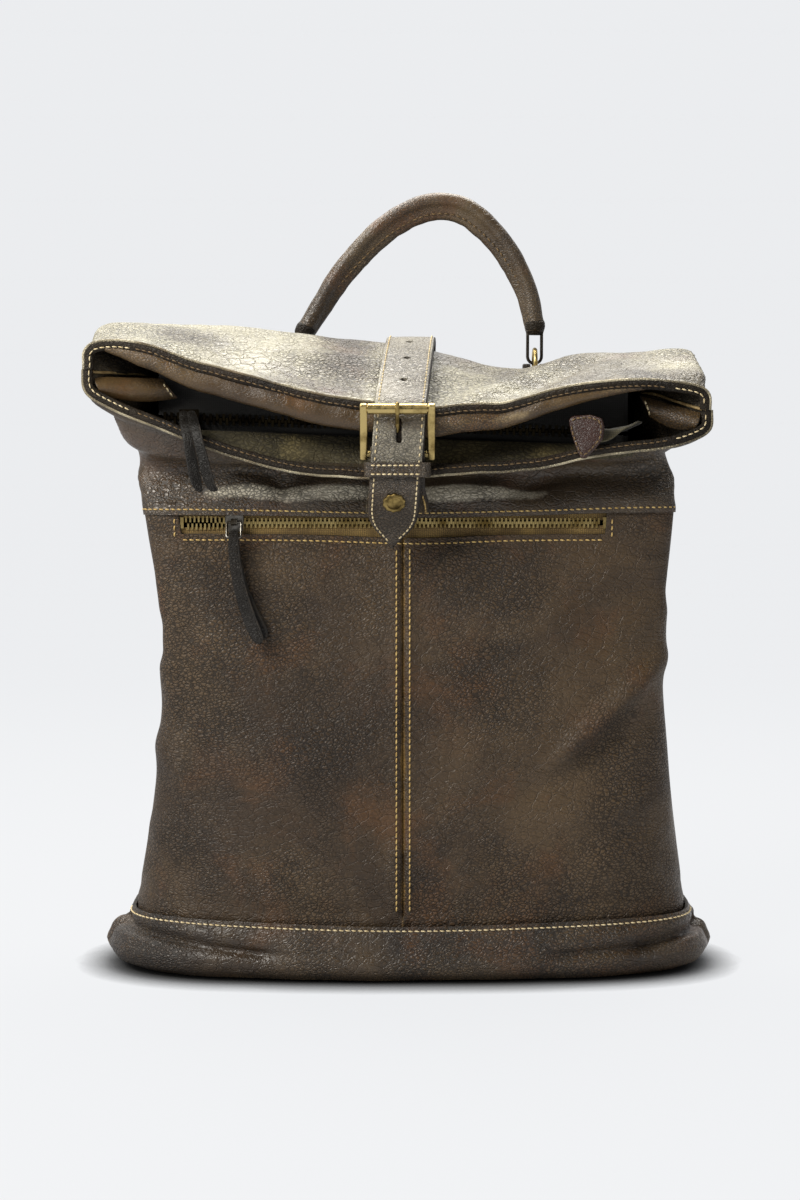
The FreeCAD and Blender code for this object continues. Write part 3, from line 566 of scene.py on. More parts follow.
# The top flap's pale olive fourth colour stands partly for rubbing and partly for a painted highlight of the light
# from above.
top_leather = leather("TopLeather", srgb(58, 45, 29), srgb(100, 91, 69), srgb(80, 56, 33), srgb(144, 138, 115),
                      grain=1.15, crease=0.42, shine=0.36, worn_and_sheen_from=0.34, spec=0.6, relief=1.1)
base_leather = leather("BaseLeather", srgb(44, 33, 22), srgb(80, 65, 46), srgb(80, 56, 34), OCHRE, shine=0.35)
strap_leather = leather("StrapLeather", srgb(96, 88, 74), srgb(138, 131, 114), srgb(88, 74, 56),
                        srgb(172, 166, 148), grain=0.8, crease=0.5, shine=0.34, spec=0.6, relief=0.5)
tip_leather = leather("TipLeather", srgb(56, 46, 36), srgb(80, 69, 55), srgb(74, 58, 40), srgb(124, 112, 92),
                      grain=0.8, shine=0.36, worn_and_sheen_from=0.6)
tab_leather = leather("TabLeather", srgb(42, 35, 27), srgb(62, 52, 40), srgb(64, 48, 30), CREAM_EDGE, shine=0.42)
# The upper facing's pale fourth colour is a painted highlight along the crest of its roll.
facing_leather = leather("FacingLeather", srgb(66, 49, 28), srgb(98, 77, 47), srgb(98, 69, 38), srgb(158, 139, 104),
                         grain=0.7, crease=0.1, shine=0.36, relief=0.5)
suede = leather("InnerSuede", srgb(40, 35, 18), srgb(70, 62, 36), srgb(66, 54, 28), srgb(104, 92, 56),
                grain=1.3, shine=0.72, worn_and_sheen_from=0.4)
tan_leather = plain("TanPiping", srgb(150, 128, 84), srgb(116, 92, 54), 0.6, 200.0)
inner_leather = leather("InnerLeather", srgb(40, 34, 22), srgb(62, 52, 34), srgb(70, 56, 34), srgb(150, 134, 104),
                        grain=1.2, shine=0.60, worn_and_sheen_from=0.75)
dark_leather = leather("DarkLeather", srgb(26, 20, 13), srgb(44, 36, 25), srgb(48, 36, 24), srgb(96, 84, 62),
                       grain=0.8, shine=0.46, worn_and_sheen_from=0.62, spec=0.22)
edge_leather = plain("EdgeLeather", srgb(22, 19, 15), srgb(44, 36, 26), 0.72, 180.0, 0.5, 0.0004)
pull_leather = leather("PullLeather", srgb(18, 16, 13), srgb(36, 32, 27), srgb(36, 30, 24), srgb(112, 104, 90),
                       grain=0.7, shine=0.40, worn_and_sheen_from=0.55, spec=0.25)
handle_leather = leather("HandleLeather", srgb(62, 47, 30), srgb(90, 74, 52), srgb(92, 62, 36), srgb(138, 130, 112),
                         grain=0.8, shine=0.32, worn_and_sheen_from=0.42, spec=0.6, relief=0.4)
brown_leather = leather("BrownLeather", srgb(44, 26, 20), srgb(62, 38, 30), srgb(70, 42, 30), srgb(150, 134, 112),
                        grain=0.5, crease=0.1, shine=0.3, worn_and_sheen_from=0.7)
cream_thread = plain("CreamThread", srgb(222, 206, 168), srgb(186, 164, 120), 0.75, 700.0, 0.4, 0.0001)
gold_thread = plain("GoldThread", srgb(206, 178, 116), srgb(160, 128, 70), 0.75, 700.0, 0.4, 0.0001)
dark_thread = plain("DarkThread", srgb(120, 96, 62), srgb(76, 60, 38), 0.8, 700.0, 0.4, 0.0001)
zip_cloth = woven("ZipCloth", srgb(150, 122, 66), srgb(112, 88, 44))
olive_cloth = woven("OliveCloth", srgb(96, 88, 52), srgb(70, 62, 36))
# Near-black cloth as painted shade: it colours the main zip's tapes inside the mouth.
mouth_shade_cloth = woven("MouthShadeCloth", srgb(20, 17, 11), srgb(14, 12, 8))
lining_cloth = woven("LiningCloth", srgb(86, 78, 62), srgb(66, 58, 44), 900.0)
bright_brass = brass("BrightBrass", srgb(190, 168, 112), srgb(112, 92, 50), 0.30)
old_brass = brass("OldBrass", srgb(160, 138, 86), srgb(80, 66, 36), 0.36)
# Brass darkened almost to black as painted shade: it colours the main zip's teeth, slider and bail, inside the
# mouth.
mouth_shade_brass = brass("MouthShadeBrass", srgb(40, 34, 22), srgb(22, 18, 12), 0.5)
dark_metal = brass("DarkMetal", srgb(150, 146, 138), srgb(74, 68, 58), 0.28)

# ---- the bag's outline ---------------------------------------------------------------------------
# The bag is a tube swept up a spine that bends forward into the roll top. Each row is
# centre y, centre z, lean in degrees, left and right half width, half depth, squareness, inward side fold.
ROWS = np.array([
    (0, 44, 0, 171, 181, 64, 2.9, 0),
    (0, 130, 0, 165, 178, 66, 3.2, 11),
    (0, 215, 0, 157.5, 169, 62, 5.0, 18),
    (0, 293, 0, 163, 171, 58, 9.0, 24),
    (-7, 331, 19, 174, 177, 57, 6.0, 30),
    (-23, 358, 42, 191, 186, 58, 7.0, 36),
    (-46, 356, 53, 195, 189, 43, 8.0, 34),
    (-68, 346, 68, 196, 189, 28, 8.0, 20),
    (-88, 337, 90, 195, 188, 20, 4.3, 2),
], float)
# Height gained by the mouth, its half height and the height gained by the ridge behind it, from the left end to
# the right in equal steps.
LIPS = np.array([(43, 25.5, 5), (35.5, 27.5, 2), (21.5, 26.3, 3), (9.5, 25.5, 3), (2.5, 23, 1), (0, 21, -3),
                 (0.6, 19.7, -11), (5, 21.3, -17), (12.3, 21.5, -10), (15.3, 22.5, -10), (18.5, 22, -5)], float)
BEND, RIM = 4, 8
END_SETBACK = 13.0


def row_at(s, table=ROWS):
    last = len(table) - 1
    i = np.minimum(s.astype(int), last - 1)
    t = (s - i)[..., None]
    a, b, c, d = (table[np.clip(i + k, 0, last)] for k in (-1, 0, 1, 2))
    return np.moveaxis(catmull_rom(a, b, c, d, t), -1, 0)


def skin(s, theta):
    """Points of the outer skin: theta 0 is the right side, 90 degrees the back wall, 270 the front wall."""
    s, theta = np.broadcast_arrays(np.asarray(s, float), np.asarray(theta, float))
    y, z, lean, left, right, deep, square, fold = row_at(np.clip(s, 0, RIM))
    across, depth = superellipse(theta, square)
    half = left + (right - left) * smooth((across + 1) / 2)
    pinch = fold * np.maximum(0, 1 - (depth / 0.85) ** 2) ** 2
    rolled = np.clip((s - BEND) / (RIM - BEND), 0, 1)
    lean = np.radians(lean)
    rise, gape, crest = row_at((across + 1) * 5, LIPS)
    neck = 14.0 * np.exp(-((s - 4.05) / 0.70) ** 2) * (depth < 0)
    reach = depth * (deep - neck + (gape - 20) * rolled)
    spread = 5.0 * np.exp(-((z - 130) / 62) ** 2) * smooth(depth * 2.5) * smooth((across - 0.4) / 0.5)
    tuck = 22.0 * smooth((s - 3.6) / 1.2) * smooth((7.95 - s) / 1.1) * (depth < 0) * np.abs(depth) * across ** 4
    x = across * (half - pinch - tuck) + spread
    crest = crest * smooth((s - 3.3) / 1.6) * smooth((RIM - s) / 2.2) * (depth > 0) * np.abs(depth)
    return np.stack([x, y + reach * np.cos(lean) + END_SETBACK * rolled * across ** 2,
                     z + reach * np.sin(lean) + rise * rolled ** 1.2 + crest + 86.0 * np.minimum(s, 0)], -1)


def skin_normal(s, theta):
    up = skin(np.minimum(s + 0.03, RIM), theta) - skin(np.maximum(s - 0.03, 0.0), theta)
    along = skin(s, theta + 0.02) - skin(s, theta - 0.02)
    return unit(np.cross(along, up))


def ridge(x, z, start, end, wide, high):
    """A long soft fold between two points of the front, seen in x and z, that fades at both ends."""
    (ax, az), (bx, bz) = start, end
    dx, dz = bx - ax, bz - az
    length = math.hypot(dx, dz)
    t = ((x - ax) * dx + (z - az) * dz) / length ** 2
    off = ((x - ax) * dz - (z - az) * dx) / length
    return high * np.exp(-(off / wide) ** 2) * smooth((t + 0.3) / 0.5) * smooth((1.3 - t) / 0.5)


FRONT_FOLDS = (
    ((156, 196), (96, 138), 7.5, 5.6), ((145, 159), (78, 120), 9, -3.4), ((154, 114), (100, 102), 10, 2.8),
    ((165, 235), (163, 200), 8, 2.6), ((150, 250), (120, 215), 12, -1.8), ((160, 82), (120, 70), 14, 2.5),
    ((-150, 199), (-142, 175), 7, 2.6), ((-155, 150), (-132, 120), 9, 2.6), ((-153, 96), (-146, 73), 8, 2.2),
    ((-150, 225), (-128, 215), 8, -1.8), ((-140, 165), (-118, 140), 10, -1.6),
)
YOKE_FOLDS = (
    ((-26, 315), (-73, 300), 7, 3.6), ((-116, 319), (-81, 303), 7, 3.4), ((-74, 311), (-76, 297), 6, -3.0),
    ((20, 305), (68, 304), 8, 2.6), ((66, 306), (108, 319), 6, -3.4), ((110, 304), (150, 300), 8, 1.6),
    ((-150, 304), (-120, 301), 7, -2.0),
)


def folded(p, folds):
    return sum(ridge(p[..., 0], p[..., 2], *fold) for fold in folds)


def soft(p, seed, amount=1.0):
    """The slack unevenness of hanging leather."""
    return amount * (1.1 * noise(p, 62, seed) + 0.55 * noise(p, 26, seed + 1) + 0.16 * noise(p, 9, seed + 2))


def theta_for(x, s, front=True):
    """The angle at which the front or back wall has that x at spine position s."""
    angles = np.linspace(PI, 2 * PI, 721) if front else np.linspace(PI, 0, 721)
    xs = skin(np.full(721, float(s)), angles)[:, 0]
    low, high = int(np.argmin(xs)), int(np.argmax(xs))
    return np.interp(x, xs[low:high + 1], angles[low:high + 1])


def wall_thetas(s, start, end, count):
    """Evenly spaced angles across a wall, for each spine position."""
    rows = []
    for value in s:
        angles = np.linspace(start, end, 241)
        p = skin(np.full(241, float(value)), angles)
        run = np.concatenate([[0], np.cumsum(np.linalg.norm(np.diff(p, axis=0), axis=1))])
        rows.append(np.interp(np.linspace(0, run[-1], count), run, angles))
    return np.array(rows)


def s_for_z(z):
    values = np.linspace(0, 3.2, 641)
    return np.interp(z, skin(values, np.full(641, 1.5 * PI))[:, 2], values)


SLOT_LEFT, SLOT_RIGHT, SLOT_LOW = -138.0, 125.5, 279.3


def seam_swell(x):
    """The centre seam: a groove where the two panels join and the turned allowances on each side."""
    return 0.9 * np.exp(-((np.abs(x) - 4.2) / 2.6) ** 2) - 1.5 * np.exp(-(x / 1.3) ** 2)


def side_wear(theta):
    edge = np.minimum(np.abs(theta - PI), np.minimum(np.abs(theta - 2 * PI), np.abs(theta)))
    return np.exp(-(edge / 0.05) ** 2)


def front_point(s, theta):
    p, n = skin(s, theta), skin_normal(s, theta)
    x, z = p[..., 0], p[..., 2]
    calm = smooth((z - 44) / 30)
    side = smooth((172 - np.abs(x)) / 26)
    rise = folded(p, FRONT_FOLDS) + soft(p, 3, 0.55 + 0.45 * calm) * (0.25 + 0.75 * side) + seam_swell(x)
    rise = rise - 1.4 * np.exp(-((z - 276) / 7) ** 2) * smooth((150 - np.abs(x)) / 20)
    near_base = np.exp(-((z - (44 + 8 * (x / 175) ** 2)) / 5) ** 2)
    droop = 2.4 * np.exp(-((x - 6) / 48) ** 2) * np.exp(-((z - 279) / 11) ** 2)
    p = p + n * (rise - 0.6 * near_base)[..., None]
    p[..., 2] -= droop
    return p, n


def make_front():
    s = np.concatenate([np.linspace(-0.16, s_for_z(SLOT_LOW), 104), np.linspace(s_for_z(282), 3.14, 7)])
    low_rows = 104
    left = np.linspace(0, 1, 76)
    for side, start, end in (("left", PI, 1.5 * PI), ("right", 1.5 * PI, 2 * PI)):
        thetas = wall_thetas(s, start, end, len(left))
        cut = theta_for(SLOT_LEFT if side == "left" else SLOT_RIGHT, 2.9)
        k = int(np.argmin(np.abs(thetas[low_rows] - cut)))
        shift = np.interp(np.arange(len(left)), [0, k, len(left) - 1], [0, 1, 0])
        thetas = thetas + shift * (cut - thetas[:, k:k + 1]) * smooth((s[:, None] - 2.5) / 0.25)
        p, _ = front_point(s[:, None], thetas)
        keep = np.ones((len(s) - 1, len(left) - 1), bool)
        if side == "left":
            keep[low_rows - 1:, k:] = False
        else:
            keep[low_rows - 1:, :k] = False
        x = p[..., 0]
        wear_and_sheen = 0.75 * np.exp(-(x / 1.6) ** 2) + 0.5 * side_wear(thetas) + 0.12 * noise(p, 40, 21)
        wear_and_sheen = wear_and_sheen + 0.35 * np.exp(-((np.abs(x) - 3.6) / 2.2) ** 2) * (0.5 + 0.5 * noise(p, 14, 4))
        obj = sheet("FrontPanel" + side.title(), p, [body_leather, edge_leather], 2.0, keep, False, wear_and_sheen)
        place(obj, "bag", ["front_panel_" + side], "body_leather")


def roll_noise(p, seed):
    """Creases of the much-used roll: fine wrinkles that run mostly along it."""
    stretched = p * np.array([0.45, 1.0, 1.0])
    fine = np.abs(noise(stretched, 7.5, seed)) + 0.6 * np.abs(noise(stretched, 3.6, seed + 1))
    return fine


def yoke_point(s, theta):
    p, n = skin(s, theta), skin_normal(s, theta)
    x = p[..., 0]
    edge = smooth((3.3 - s) / 0.34)
    low = smooth((s - 3.0) / 0.15)
    rise = (folded(p, YOKE_FOLDS) + soft(p, 31, 0.8)) * low * smooth((6.0 - s) / 1.5)
    lip = smooth((s - 6.2) / 1.5)
    rise = rise + 1.3 * np.exp(-((x + 130) / 14) ** 2) * np.exp(-((s - 2.97) / 0.14) ** 2)
    rise = rise + 1.3 * edge + lip * (1.1 * noise(p, 34, 35) + 0.5 * noise(p, 12, 36))
    return p + n * rise[..., None], n


def make_yoke():
    s = np.concatenate([np.linspace(2.96, 3.3, 8), np.linspace(3.36, RIM, 92)])
    thetas = wall_thetas(s, PI, 2 * PI, 160)
    p, _ = yoke_point(s[:, None], thetas)
    sag = 1.6 * np.exp(-(p[..., 0] / 70) ** 2) - 1.5 * smooth((p[..., 0] - 60) / 80)
    p[..., 2] -= sag * smooth((3.4 - s[:, None]) / 0.4)
    # Paler towards the lip, with a pale lip edge that is partly rubbing and partly a painted highlight.
    wear_and_sheen = 0.7 * smooth((s[:, None] - 7.75) / 0.22) + 0.25 * smooth((s[:, None] - 3.6) / 1.2)
    wear_and_sheen = wear_and_sheen * np.ones_like(thetas) + 0.3 * side_wear(thetas) - 0.3 * smooth((3.2 - s[:, None]) / 0.2)
    # Painted highlight: a pale band along the yoke's lower slope, added to the per-point value so that it takes the
    # pale fourth colour.
    painted_sheen = np.exp(-((s[:, None] - 3.32) / 0.24) ** 2) * smooth((p[..., 0] + 150) / 40)
    painted_sheen = painted_sheen * smooth((120 - p[..., 0]) / 60)
    wear_and_sheen = wear_and_sheen + painted_sheen * (1.15 + 0.5 * noise(p, 24, 31))
    obj = sheet("FrontYoke", p, [yoke_leather, inner_leather, edge_leather], 2.0, None, False, wear_and_sheen)
    place(lined(obj), "bag", ["front_yoke"], "body_leather")


def flap_point(s, theta):
    p, n = skin(s, theta), skin_normal(s, theta)
    x = p[..., 0]
    rolled = smooth((s - 3.6) / 0.8)
    calm = 1 - rolled
    rise = soft(p, 51, 1.0 + 0.6 * rolled)
    rise = rise - 0.55 * roll_noise(p, 57) * rolled * (0.5 + 0.5 * smooth(noise(p, 30, 60) + 0.6))
    over = ridge(x, p[..., 1], (38, -80), (98, -8), 9, 4.5)
    under = ridge(x, p[..., 1], (60, -84), (118, -16), 11, -3.5)
    droop = ridge(x, p[..., 1], (-60, -60), (-165, -78), 11, -2.6)
    rise = rise + (over + under + droop) * rolled + 0.6 * calm
    return p + n * rise[..., None], n


def make_flap():
    s = np.concatenate([np.linspace(2.96, 3.6, 14), np.linspace(3.64, RIM, 104)])
    thetas = wall_thetas(s, PI, 0.0, 170)
    p, _ = flap_point(s[:, None], thetas)
    # The rolled top takes the pale fourth colour: partly rubbing, partly a painted highlight of the light from
    # above.
    wear_and_sheen = 0.62 * smooth((s[:, None] - 4.1) / 1.0) + 0.3 * noise(p, 34, 71) + 0.25 * side_wear(thetas)
    x = p[..., 0]
    # Less of it near the strap and in patches to either side, where the painted highlight is left off.
    wear_and_sheen = wear_and_sheen - 0.55 * np.exp(-((x - 30) / 16) ** 2) * smooth((6.2 - s[:, None]) / 1.0)
    wear_and_sheen = wear_and_sheen - 0.35 * np.exp(-((x - 120) / 26) ** 2) - 0.2 * np.exp(-((x + 38) / 14) ** 2)
    # The pale lip edge: partly rubbing, partly a painted highlight.
    wear_and_sheen = wear_and_sheen + 0.55 * smooth((s[:, None] - 7.72) / 0.2)
    obj = sheet("TopFlap", p, [top_leather, inner_leather, edge_leather], 2.0, None, True, wear_and_sheen)
    place(lined(obj), "bag", ["top_flap"], "top_leather")


def make_back():
    s = np.linspace(-0.16, 3.1, 92)
    thetas = wall_thetas(s, PI, 0.0, 140)
    p, n = skin(s[:, None], thetas), skin_normal(s[:, None], thetas)
    x, z = p[..., 0], p[..., 2]
    sag = ridge(x, z, (-120, 120), (-60, 80), 16, 2.2) + ridge(x, z, (120, 140), (70, 84), 14, -2.2)
    rise = soft(p, 81) + sag + 1.8 * np.exp(-((z - 75) / 34) ** 2) * smooth((150 - np.abs(x)) / 40)
    p = p + n * np.minimum(rise - 0.4, 2.4)[..., None]
    obj = sheet("BackPanel", p, [body_leather, edge_leather], 2.0, None, True, 0.5 * side_wear(thetas))
    place(obj, "bag", ["back_panel"], "body_leather")


# ---- base band -----------------------------------------------------------------------------------
BASE_SQUARENESS = 2.9
# Height, left and right half width, half depth.
BASE_ROWS = np.array([
    (0.6, 163, 169, 56), (2.6, 173, 179.5, 62.5), (7.5, 182.5, 189.5, 67.5), (15, 187, 194.3, 69.5),
    (22, 184.5, 192, 69.3), (28, 178, 187, 67.8), (33.5, 174.2, 183.6, 66.4), (38, 172.9, 182.6, 66.0),
    (56, 171.6, 181.6, 66.4)])


def base_point(z, theta):
    left, right, deep = (np.interp(z, BASE_ROWS[:, 0], BASE_ROWS[:, k]) for k in (1, 2, 3))
    across, depth = superellipse(theta, BASE_SQUARENESS)
    half = left + (right - left) * smooth((across + 1) / 2)
    x, y = across * half, depth * deep
    return np.stack([x, y, z + 0 * x], -1)


def base_top(theta):
    """Height of the band's turned edge, which dips to the middle of the front and back."""
    c = np.cos(theta)
    return 36.4 + 3.2 * np.abs(c) ** 1.7 + 0.6 * np.sin(5 * theta)


def base_grid(theta, share):
    """share 0 is the turned top edge and 1 the rim of the underside."""
    top = base_top(theta)
    z = top * (1 - share) + 0.6 * share
    p = base_point(z, theta)
    eps = 0.02
    along = base_point(z, theta + eps) - base_point(z, theta - eps)
    up = base_point(np.minimum(z + 1.5, 56), theta) - base_point(np.maximum(z - 1.5, 0.6), theta)
    n = unit(np.cross(along, up))
    return p, n


def make_base():
    thetas = np.linspace(0, 2 * PI, 420, endpoint=False)
    shares = np.concatenate([np.linspace(0, 0.9, 34), np.linspace(0.92, 1, 7)])
    t, v = np.meshgrid(thetas, shares)
    p, n = base_grid(t, v)
    x, z = p[..., 0], p[..., 2]
    front = (p[..., 1] < 0)
    crease = ridge(x, z, (-188, 31), (-140, 25), 3.4, -5.6) + ridge(x, z, (-138, 24), (-84, 18), 3.6, -4.6)
    crease = crease + ridge(x, z, (194, 28), (150, 22), 3.4, -5.4) + ridge(x, z, (150, 21), (96, 17), 3.6, -4.2)
    crease = crease + ridge(x, z, (176, 34), (130, 27), 5, 2.4) + ridge(x, z, (-70, 20), (60, 20), 6, -1.0)
    roll = 2.2 * np.exp(-((z - 11) / 7) ** 2) + 1.2 * np.exp(-((z - 28) / 9) ** 2)
    pucker = 0.5 * noise(p * np.array([1, 1, 0.25]), 5.5, 91) * np.exp(-((z - base_top(t) + 9) / 7) ** 2)
    rise = crease * np.where(front, 1.0, 0.6) + roll + soft(p, 95, 0.8) + pucker + 1.2
    ear = np.exp(-(p[..., 1] / 5.0) ** 2) * smooth((40 - z) / 12) * smooth((z - 3) / 7)
    rise = rise + 2.6 * ear - 2.0 * np.exp(-((np.abs(p[..., 1]) - 8) / 3) ** 2) * smooth((40 - z) / 12)
    rise = np.where(z < 3, np.minimum(rise, 0.6), rise)
    p = p + n * rise[..., None]
    p[..., 2] = np.maximum(p[..., 2], 0.3)
    wear_and_sheen = 0.3 * noise(p, 30, 97) + 0.45 * np.exp(-((z - base_top(t)) / 1.2) ** 2) + 0.25 * ear
    wear_and_sheen = wear_and_sheen + 0.3 * np.exp(-((z - 12) / 6) ** 2)
    obj = sheet("BaseWrap", p, [base_leather, edge_leather], 2.2, None, True, wear_and_sheen, wrap=True)
    place(obj, "bag", ["base_wrap_front", "base_wrap_back"], "base_leather")
    rings = []
    for share, z in ((0.999, 0.55), (0.97, 0.2), (0.9, 0.4), (0.6, 0.7), (0.3, 0.7), (0.02, 0.7)):
        ring = base_point(np.full(240, 0.6), np.linspace(0, 2 * PI, 240, endpoint=False)) * share
        ring[:, 2] = z
        rings.append(ring)
    bottom = sheet("BaseBottom", np.array(rings), [base_leather, edge_leather], 1.6, None, True, wrap=True)
    place(bottom, "bag", ["base_bottom", "base_board"], "base_leather")
    k = int(np.argmin(np.abs(shares - 0.085)))
    row, out = p[k] + n[k] * 0.15, n[k]
    for name, part in (("Front", slice(216, 414)), ("Back", slice(6, 204))):
        stitches("BaseStitch" + name, [(row[part], out[part])], cream_thread)


# ---- rim of the mouth ----------------------------------------------------------------------------
def rim_line(wall, inset, count=220):
    """Points and outward directions of a lip, along the mouth from left to right."""
    start, end = (PI, 0.0) if wall == "upper" else (PI, 2 * PI)
    thetas = wall_thetas([RIM - inset], start, end, count)[0]
    lip_point = flap_point if wall == "upper" else yoke_point
    p, _ = lip_point(np.full(count, RIM - inset), thetas)
    along = np.gradient(p, axis=0)
    side = 1 if wall == "upper" else -1
    return p, unit(np.stack([-along[:, 2] * side, 0 * along[:, 0], along[:, 0] * side], 1))


def make_rim():
    """The dark binding of both lips, the pale round edge along it and the row of stitches inside it."""
    for wall in ("upper", "lower"):
        p, n = rim_line(wall, 0.0)
        forward = np.array([0, -1.0, 0])
        body = []
        for a, out in ((-0.3, 0.2), (1.0, 0.6), (2.0, 0.1), (2.9, -1.4), (3.0, -4.0), (2.2, -5.4), (0.8, -5.8),
                       (-0.6, -5.0)):
            body.append(p + forward * a + n * out)
        section = np.stack(body, 1)
        rows, cols = section.shape[:2]
        # A pale line along the outer fold of the binding: partly rubbing, partly a painted highlight.
        wear_and_sheen = 0.75 * np.exp(-((np.arange(cols) - 1.2) / 0.9) ** 2) * np.ones((rows, 1))
        wear_and_sheen = wear_and_sheen + 0.2 * noise(section, 16, 5)
        obj = mesh_of("RimBinding" + wall.title(), section.reshape(-1, 3), grid_faces(rows, cols, wrap=True),
                      [dark_leather], None, wear_and_sheen)
        place(rounded(obj), "bag", ["rim_binding_" + wall], "edge_leather")
        # The pale round edge of each lip: partly scuffed leather, partly a painted highlight.
        edge = sweep("RimEdge" + wall.title(), p + forward * 1.0 + n * 0.55, n, circle(1.0, 10), [rim_leather],
                     wear_and_sheen=0.4 + 0.5 * noise(np.repeat(p[:, None], 10, 1), 12, 6))
        place(edge, "bag", slot="edge_leather")
        inner = p + forward * 3.15 - n * 3.4
        curled = np.abs(p[:, 0]) > 163
        for part, mask in (("Left", curled & (p[:, 0] < 0)), ("Right", curled & (p[:, 0] > 0)), ("", ~curled)):
            row = inner[mask]
            stitches("RimStitch" + wall.title() + part, [(row, np.broadcast_to(forward, row.shape))],
                     cream_thread if part else dark_thread, radius=0.42 if part else 0.36)


def make_facings():
    """The tan facing that hangs as a soft roll under the upper lip, and the olive one inside the lower lip."""
    count = 200
    p, n = rim_line("upper", 0.0, count)
    keep = slice(6, count - 6)
    p, n = p[keep], n[keep]
    x = p[:, 0]
    down = np.array([0, 0, -1.0])
    back = 1 - 0.85 * smooth((x - 50) / 50)
    fall = np.interp(x, (-190, -176, -160, -137, -100, 10, 48, 86, 105, 125, 150, 172),
                     (0.4, 8, 14, 16.5, 17.5, 18, 16, 13, 11, 9, 6, 1.5)) + 0.8 * noise(p, 22, 8)
    lines = []
    for forward, drop in ((-1.0, 3.0), (1.2, 4.6), (2.4, 7.0), (3.8, 11.5), (4.0, 15.5), (2.6, 19), (0.4, 20.6),
                          (-1.8, 19.6), (-3.0, 16), (-3.4, 10)):
        scale = np.clip(fall / 20.6, 0.02, 2)
        q = p + down * (drop * scale)[:, None] + np.array([0, -1.0, 0]) * (
            forward * (np.minimum(1, 0.35 + scale) if forward > 0 else back))[:, None]
        lines.append(q)
    grid = np.stack(lines, 0)
    grid[..., 1] += 1.3 * noise(grid, 26, 9) + 0.5 * noise(grid, 9, 10)
    # Painted highlight: a pale band along the crest of the hanging roll, stronger towards the right.
    along = 0.5 + 0.6 * smooth((grid[..., 0] + 60) / 90)
    wear_and_sheen = 0.45 * np.exp(-((np.arange(10) - 3.4) / 1.3) ** 2)[:, None] * along
    wear_and_sheen = wear_and_sheen + 0.2 * noise(grid, 20, 11)
    obj = sheet("MouthFacingUpper", grid, [facing_leather, edge_leather], 1.6, None, True, wear_and_sheen, bevel=0)
    place(rounded(obj), "bag", ["mouth_facing_upper"], "lining_leather")
    q, _ = rim_line("lower", 0.06, 200)
    q = q[np.abs(q[:, 0] + 4) < 146]
    x = q[:, 0]
    chain = 351.0 + (x + 150) / 288 * -10.0 - 7.0
    rows = []
    for t in np.linspace(0, 1, 22):
        start = q + np.array([0, 2.0, 2.6])
        end = np.stack([x * 0.95, np.full(len(x), -61.0), chain], 1)
        row = start * (1 - t) + end * t
        row[:, 2] += -9.0 * math.sin(PI * t) * (1 - t) + 1.6 * noise(row, 24, 12) * math.sin(PI * t)
        row[:, 1] += 1.4 * noise(row, 17, 14) * math.sin(PI * t)
        rows.append(row)
    rows = np.array(rows)
    obj = sheet("MouthFacingLower", rows, [suede, edge_leather], 1.2, None, False,
                0.35 + 0.4 * noise(rows, 22, 13), bevel=0)
    place(obj, "bag", ["mouth_facing_lower"], "lining_leather")
    make_mouth_ends()


def make_mouth_ends():
    """The folded-in ends of the mouth: the seam that runs back along each fold and the stitched inner flap."""
    for name, side, theta in (("Left", -1, PI), ("Right", 1, 0.0)):
        s = np.linspace(5.4, 7.95, 40)
        p, n = skin(s, np.full(40, theta)), skin_normal(s, np.full(40, theta))
        inner = p - n * 3.2
        seam = sweep("MouthEndSeam" + name, inner, n, circle(0.9, 8), [tan_leather], wear_and_sheen=None)
        place(seam, "bag", slot="lining_leather")
        if side < 0:
            near_low, near_high = np.array((-183.0, -73, 364.0)), np.array((-188.0, -71, 376.0))
            far_low, far_high = np.array((-137.5, -62, 362.5)), np.array((-147.0, -60, 375.0))
        else:
            near_low, near_high = np.array((177.0, -74, 343.0)), np.array((181.0, -72, 354.0))
            far_low, far_high = np.array((150.0, -62, 351.5)), np.array((145.0, -60, 364.5))
        rows = []
        for v in np.linspace(0, 1, 14):
            row = []
            for u in np.linspace(0, 1, 24):
                q = (near_low * (1 - u) + far_low * u) * (1 - v) + (near_high * (1 - u) + far_high * u) * v
                row.append(q + np.array([0, -5.0 * math.sin(PI * v), -3.0 * math.sin(PI * u) * (1 - v)]))
            rows.append(row)
        rows = np.array(rows)
        rows[..., 1] += 0.9 * noise(rows, 14, 15)
        flap = sheet("MouthEndFlap" + name, rows, [facing_leather, edge_leather], 1.4, None, side > 0,
                     0.25 + 0.3 * noise(rows, 14, 16))
        place(rounded(flap), "bag", slot="lining_leather")
        edge = rows[1:-1, -2] + np.array([0, -0.4, 0])
        stitches("MouthEndStitch" + name, [(edge, np.broadcast_to((-0.2 * side, -1.0, 0.1), edge.shape))],
                 cream_thread)


# ---- front stitching -----------------------------------------------------------------------------
def on_front(xs, zs, yoke=False):
    """Points and normals on the front wall at those x and z."""
    xs, zs = np.broadcast_arrays(np.asarray(xs, float), np.asarray(zs, float))
    if yoke:
        values = np.linspace(2.9, 3.6, 200)
        s = np.interp(zs, skin(values, np.full(200, 1.5 * PI))[:, 2], values)
    else:
        s = s_for_z(zs)
    theta = np.array([theta_for(x, v) for x, v in zip(xs, s)])
    return yoke_point(s, theta) if yoke else front_point(s, theta)


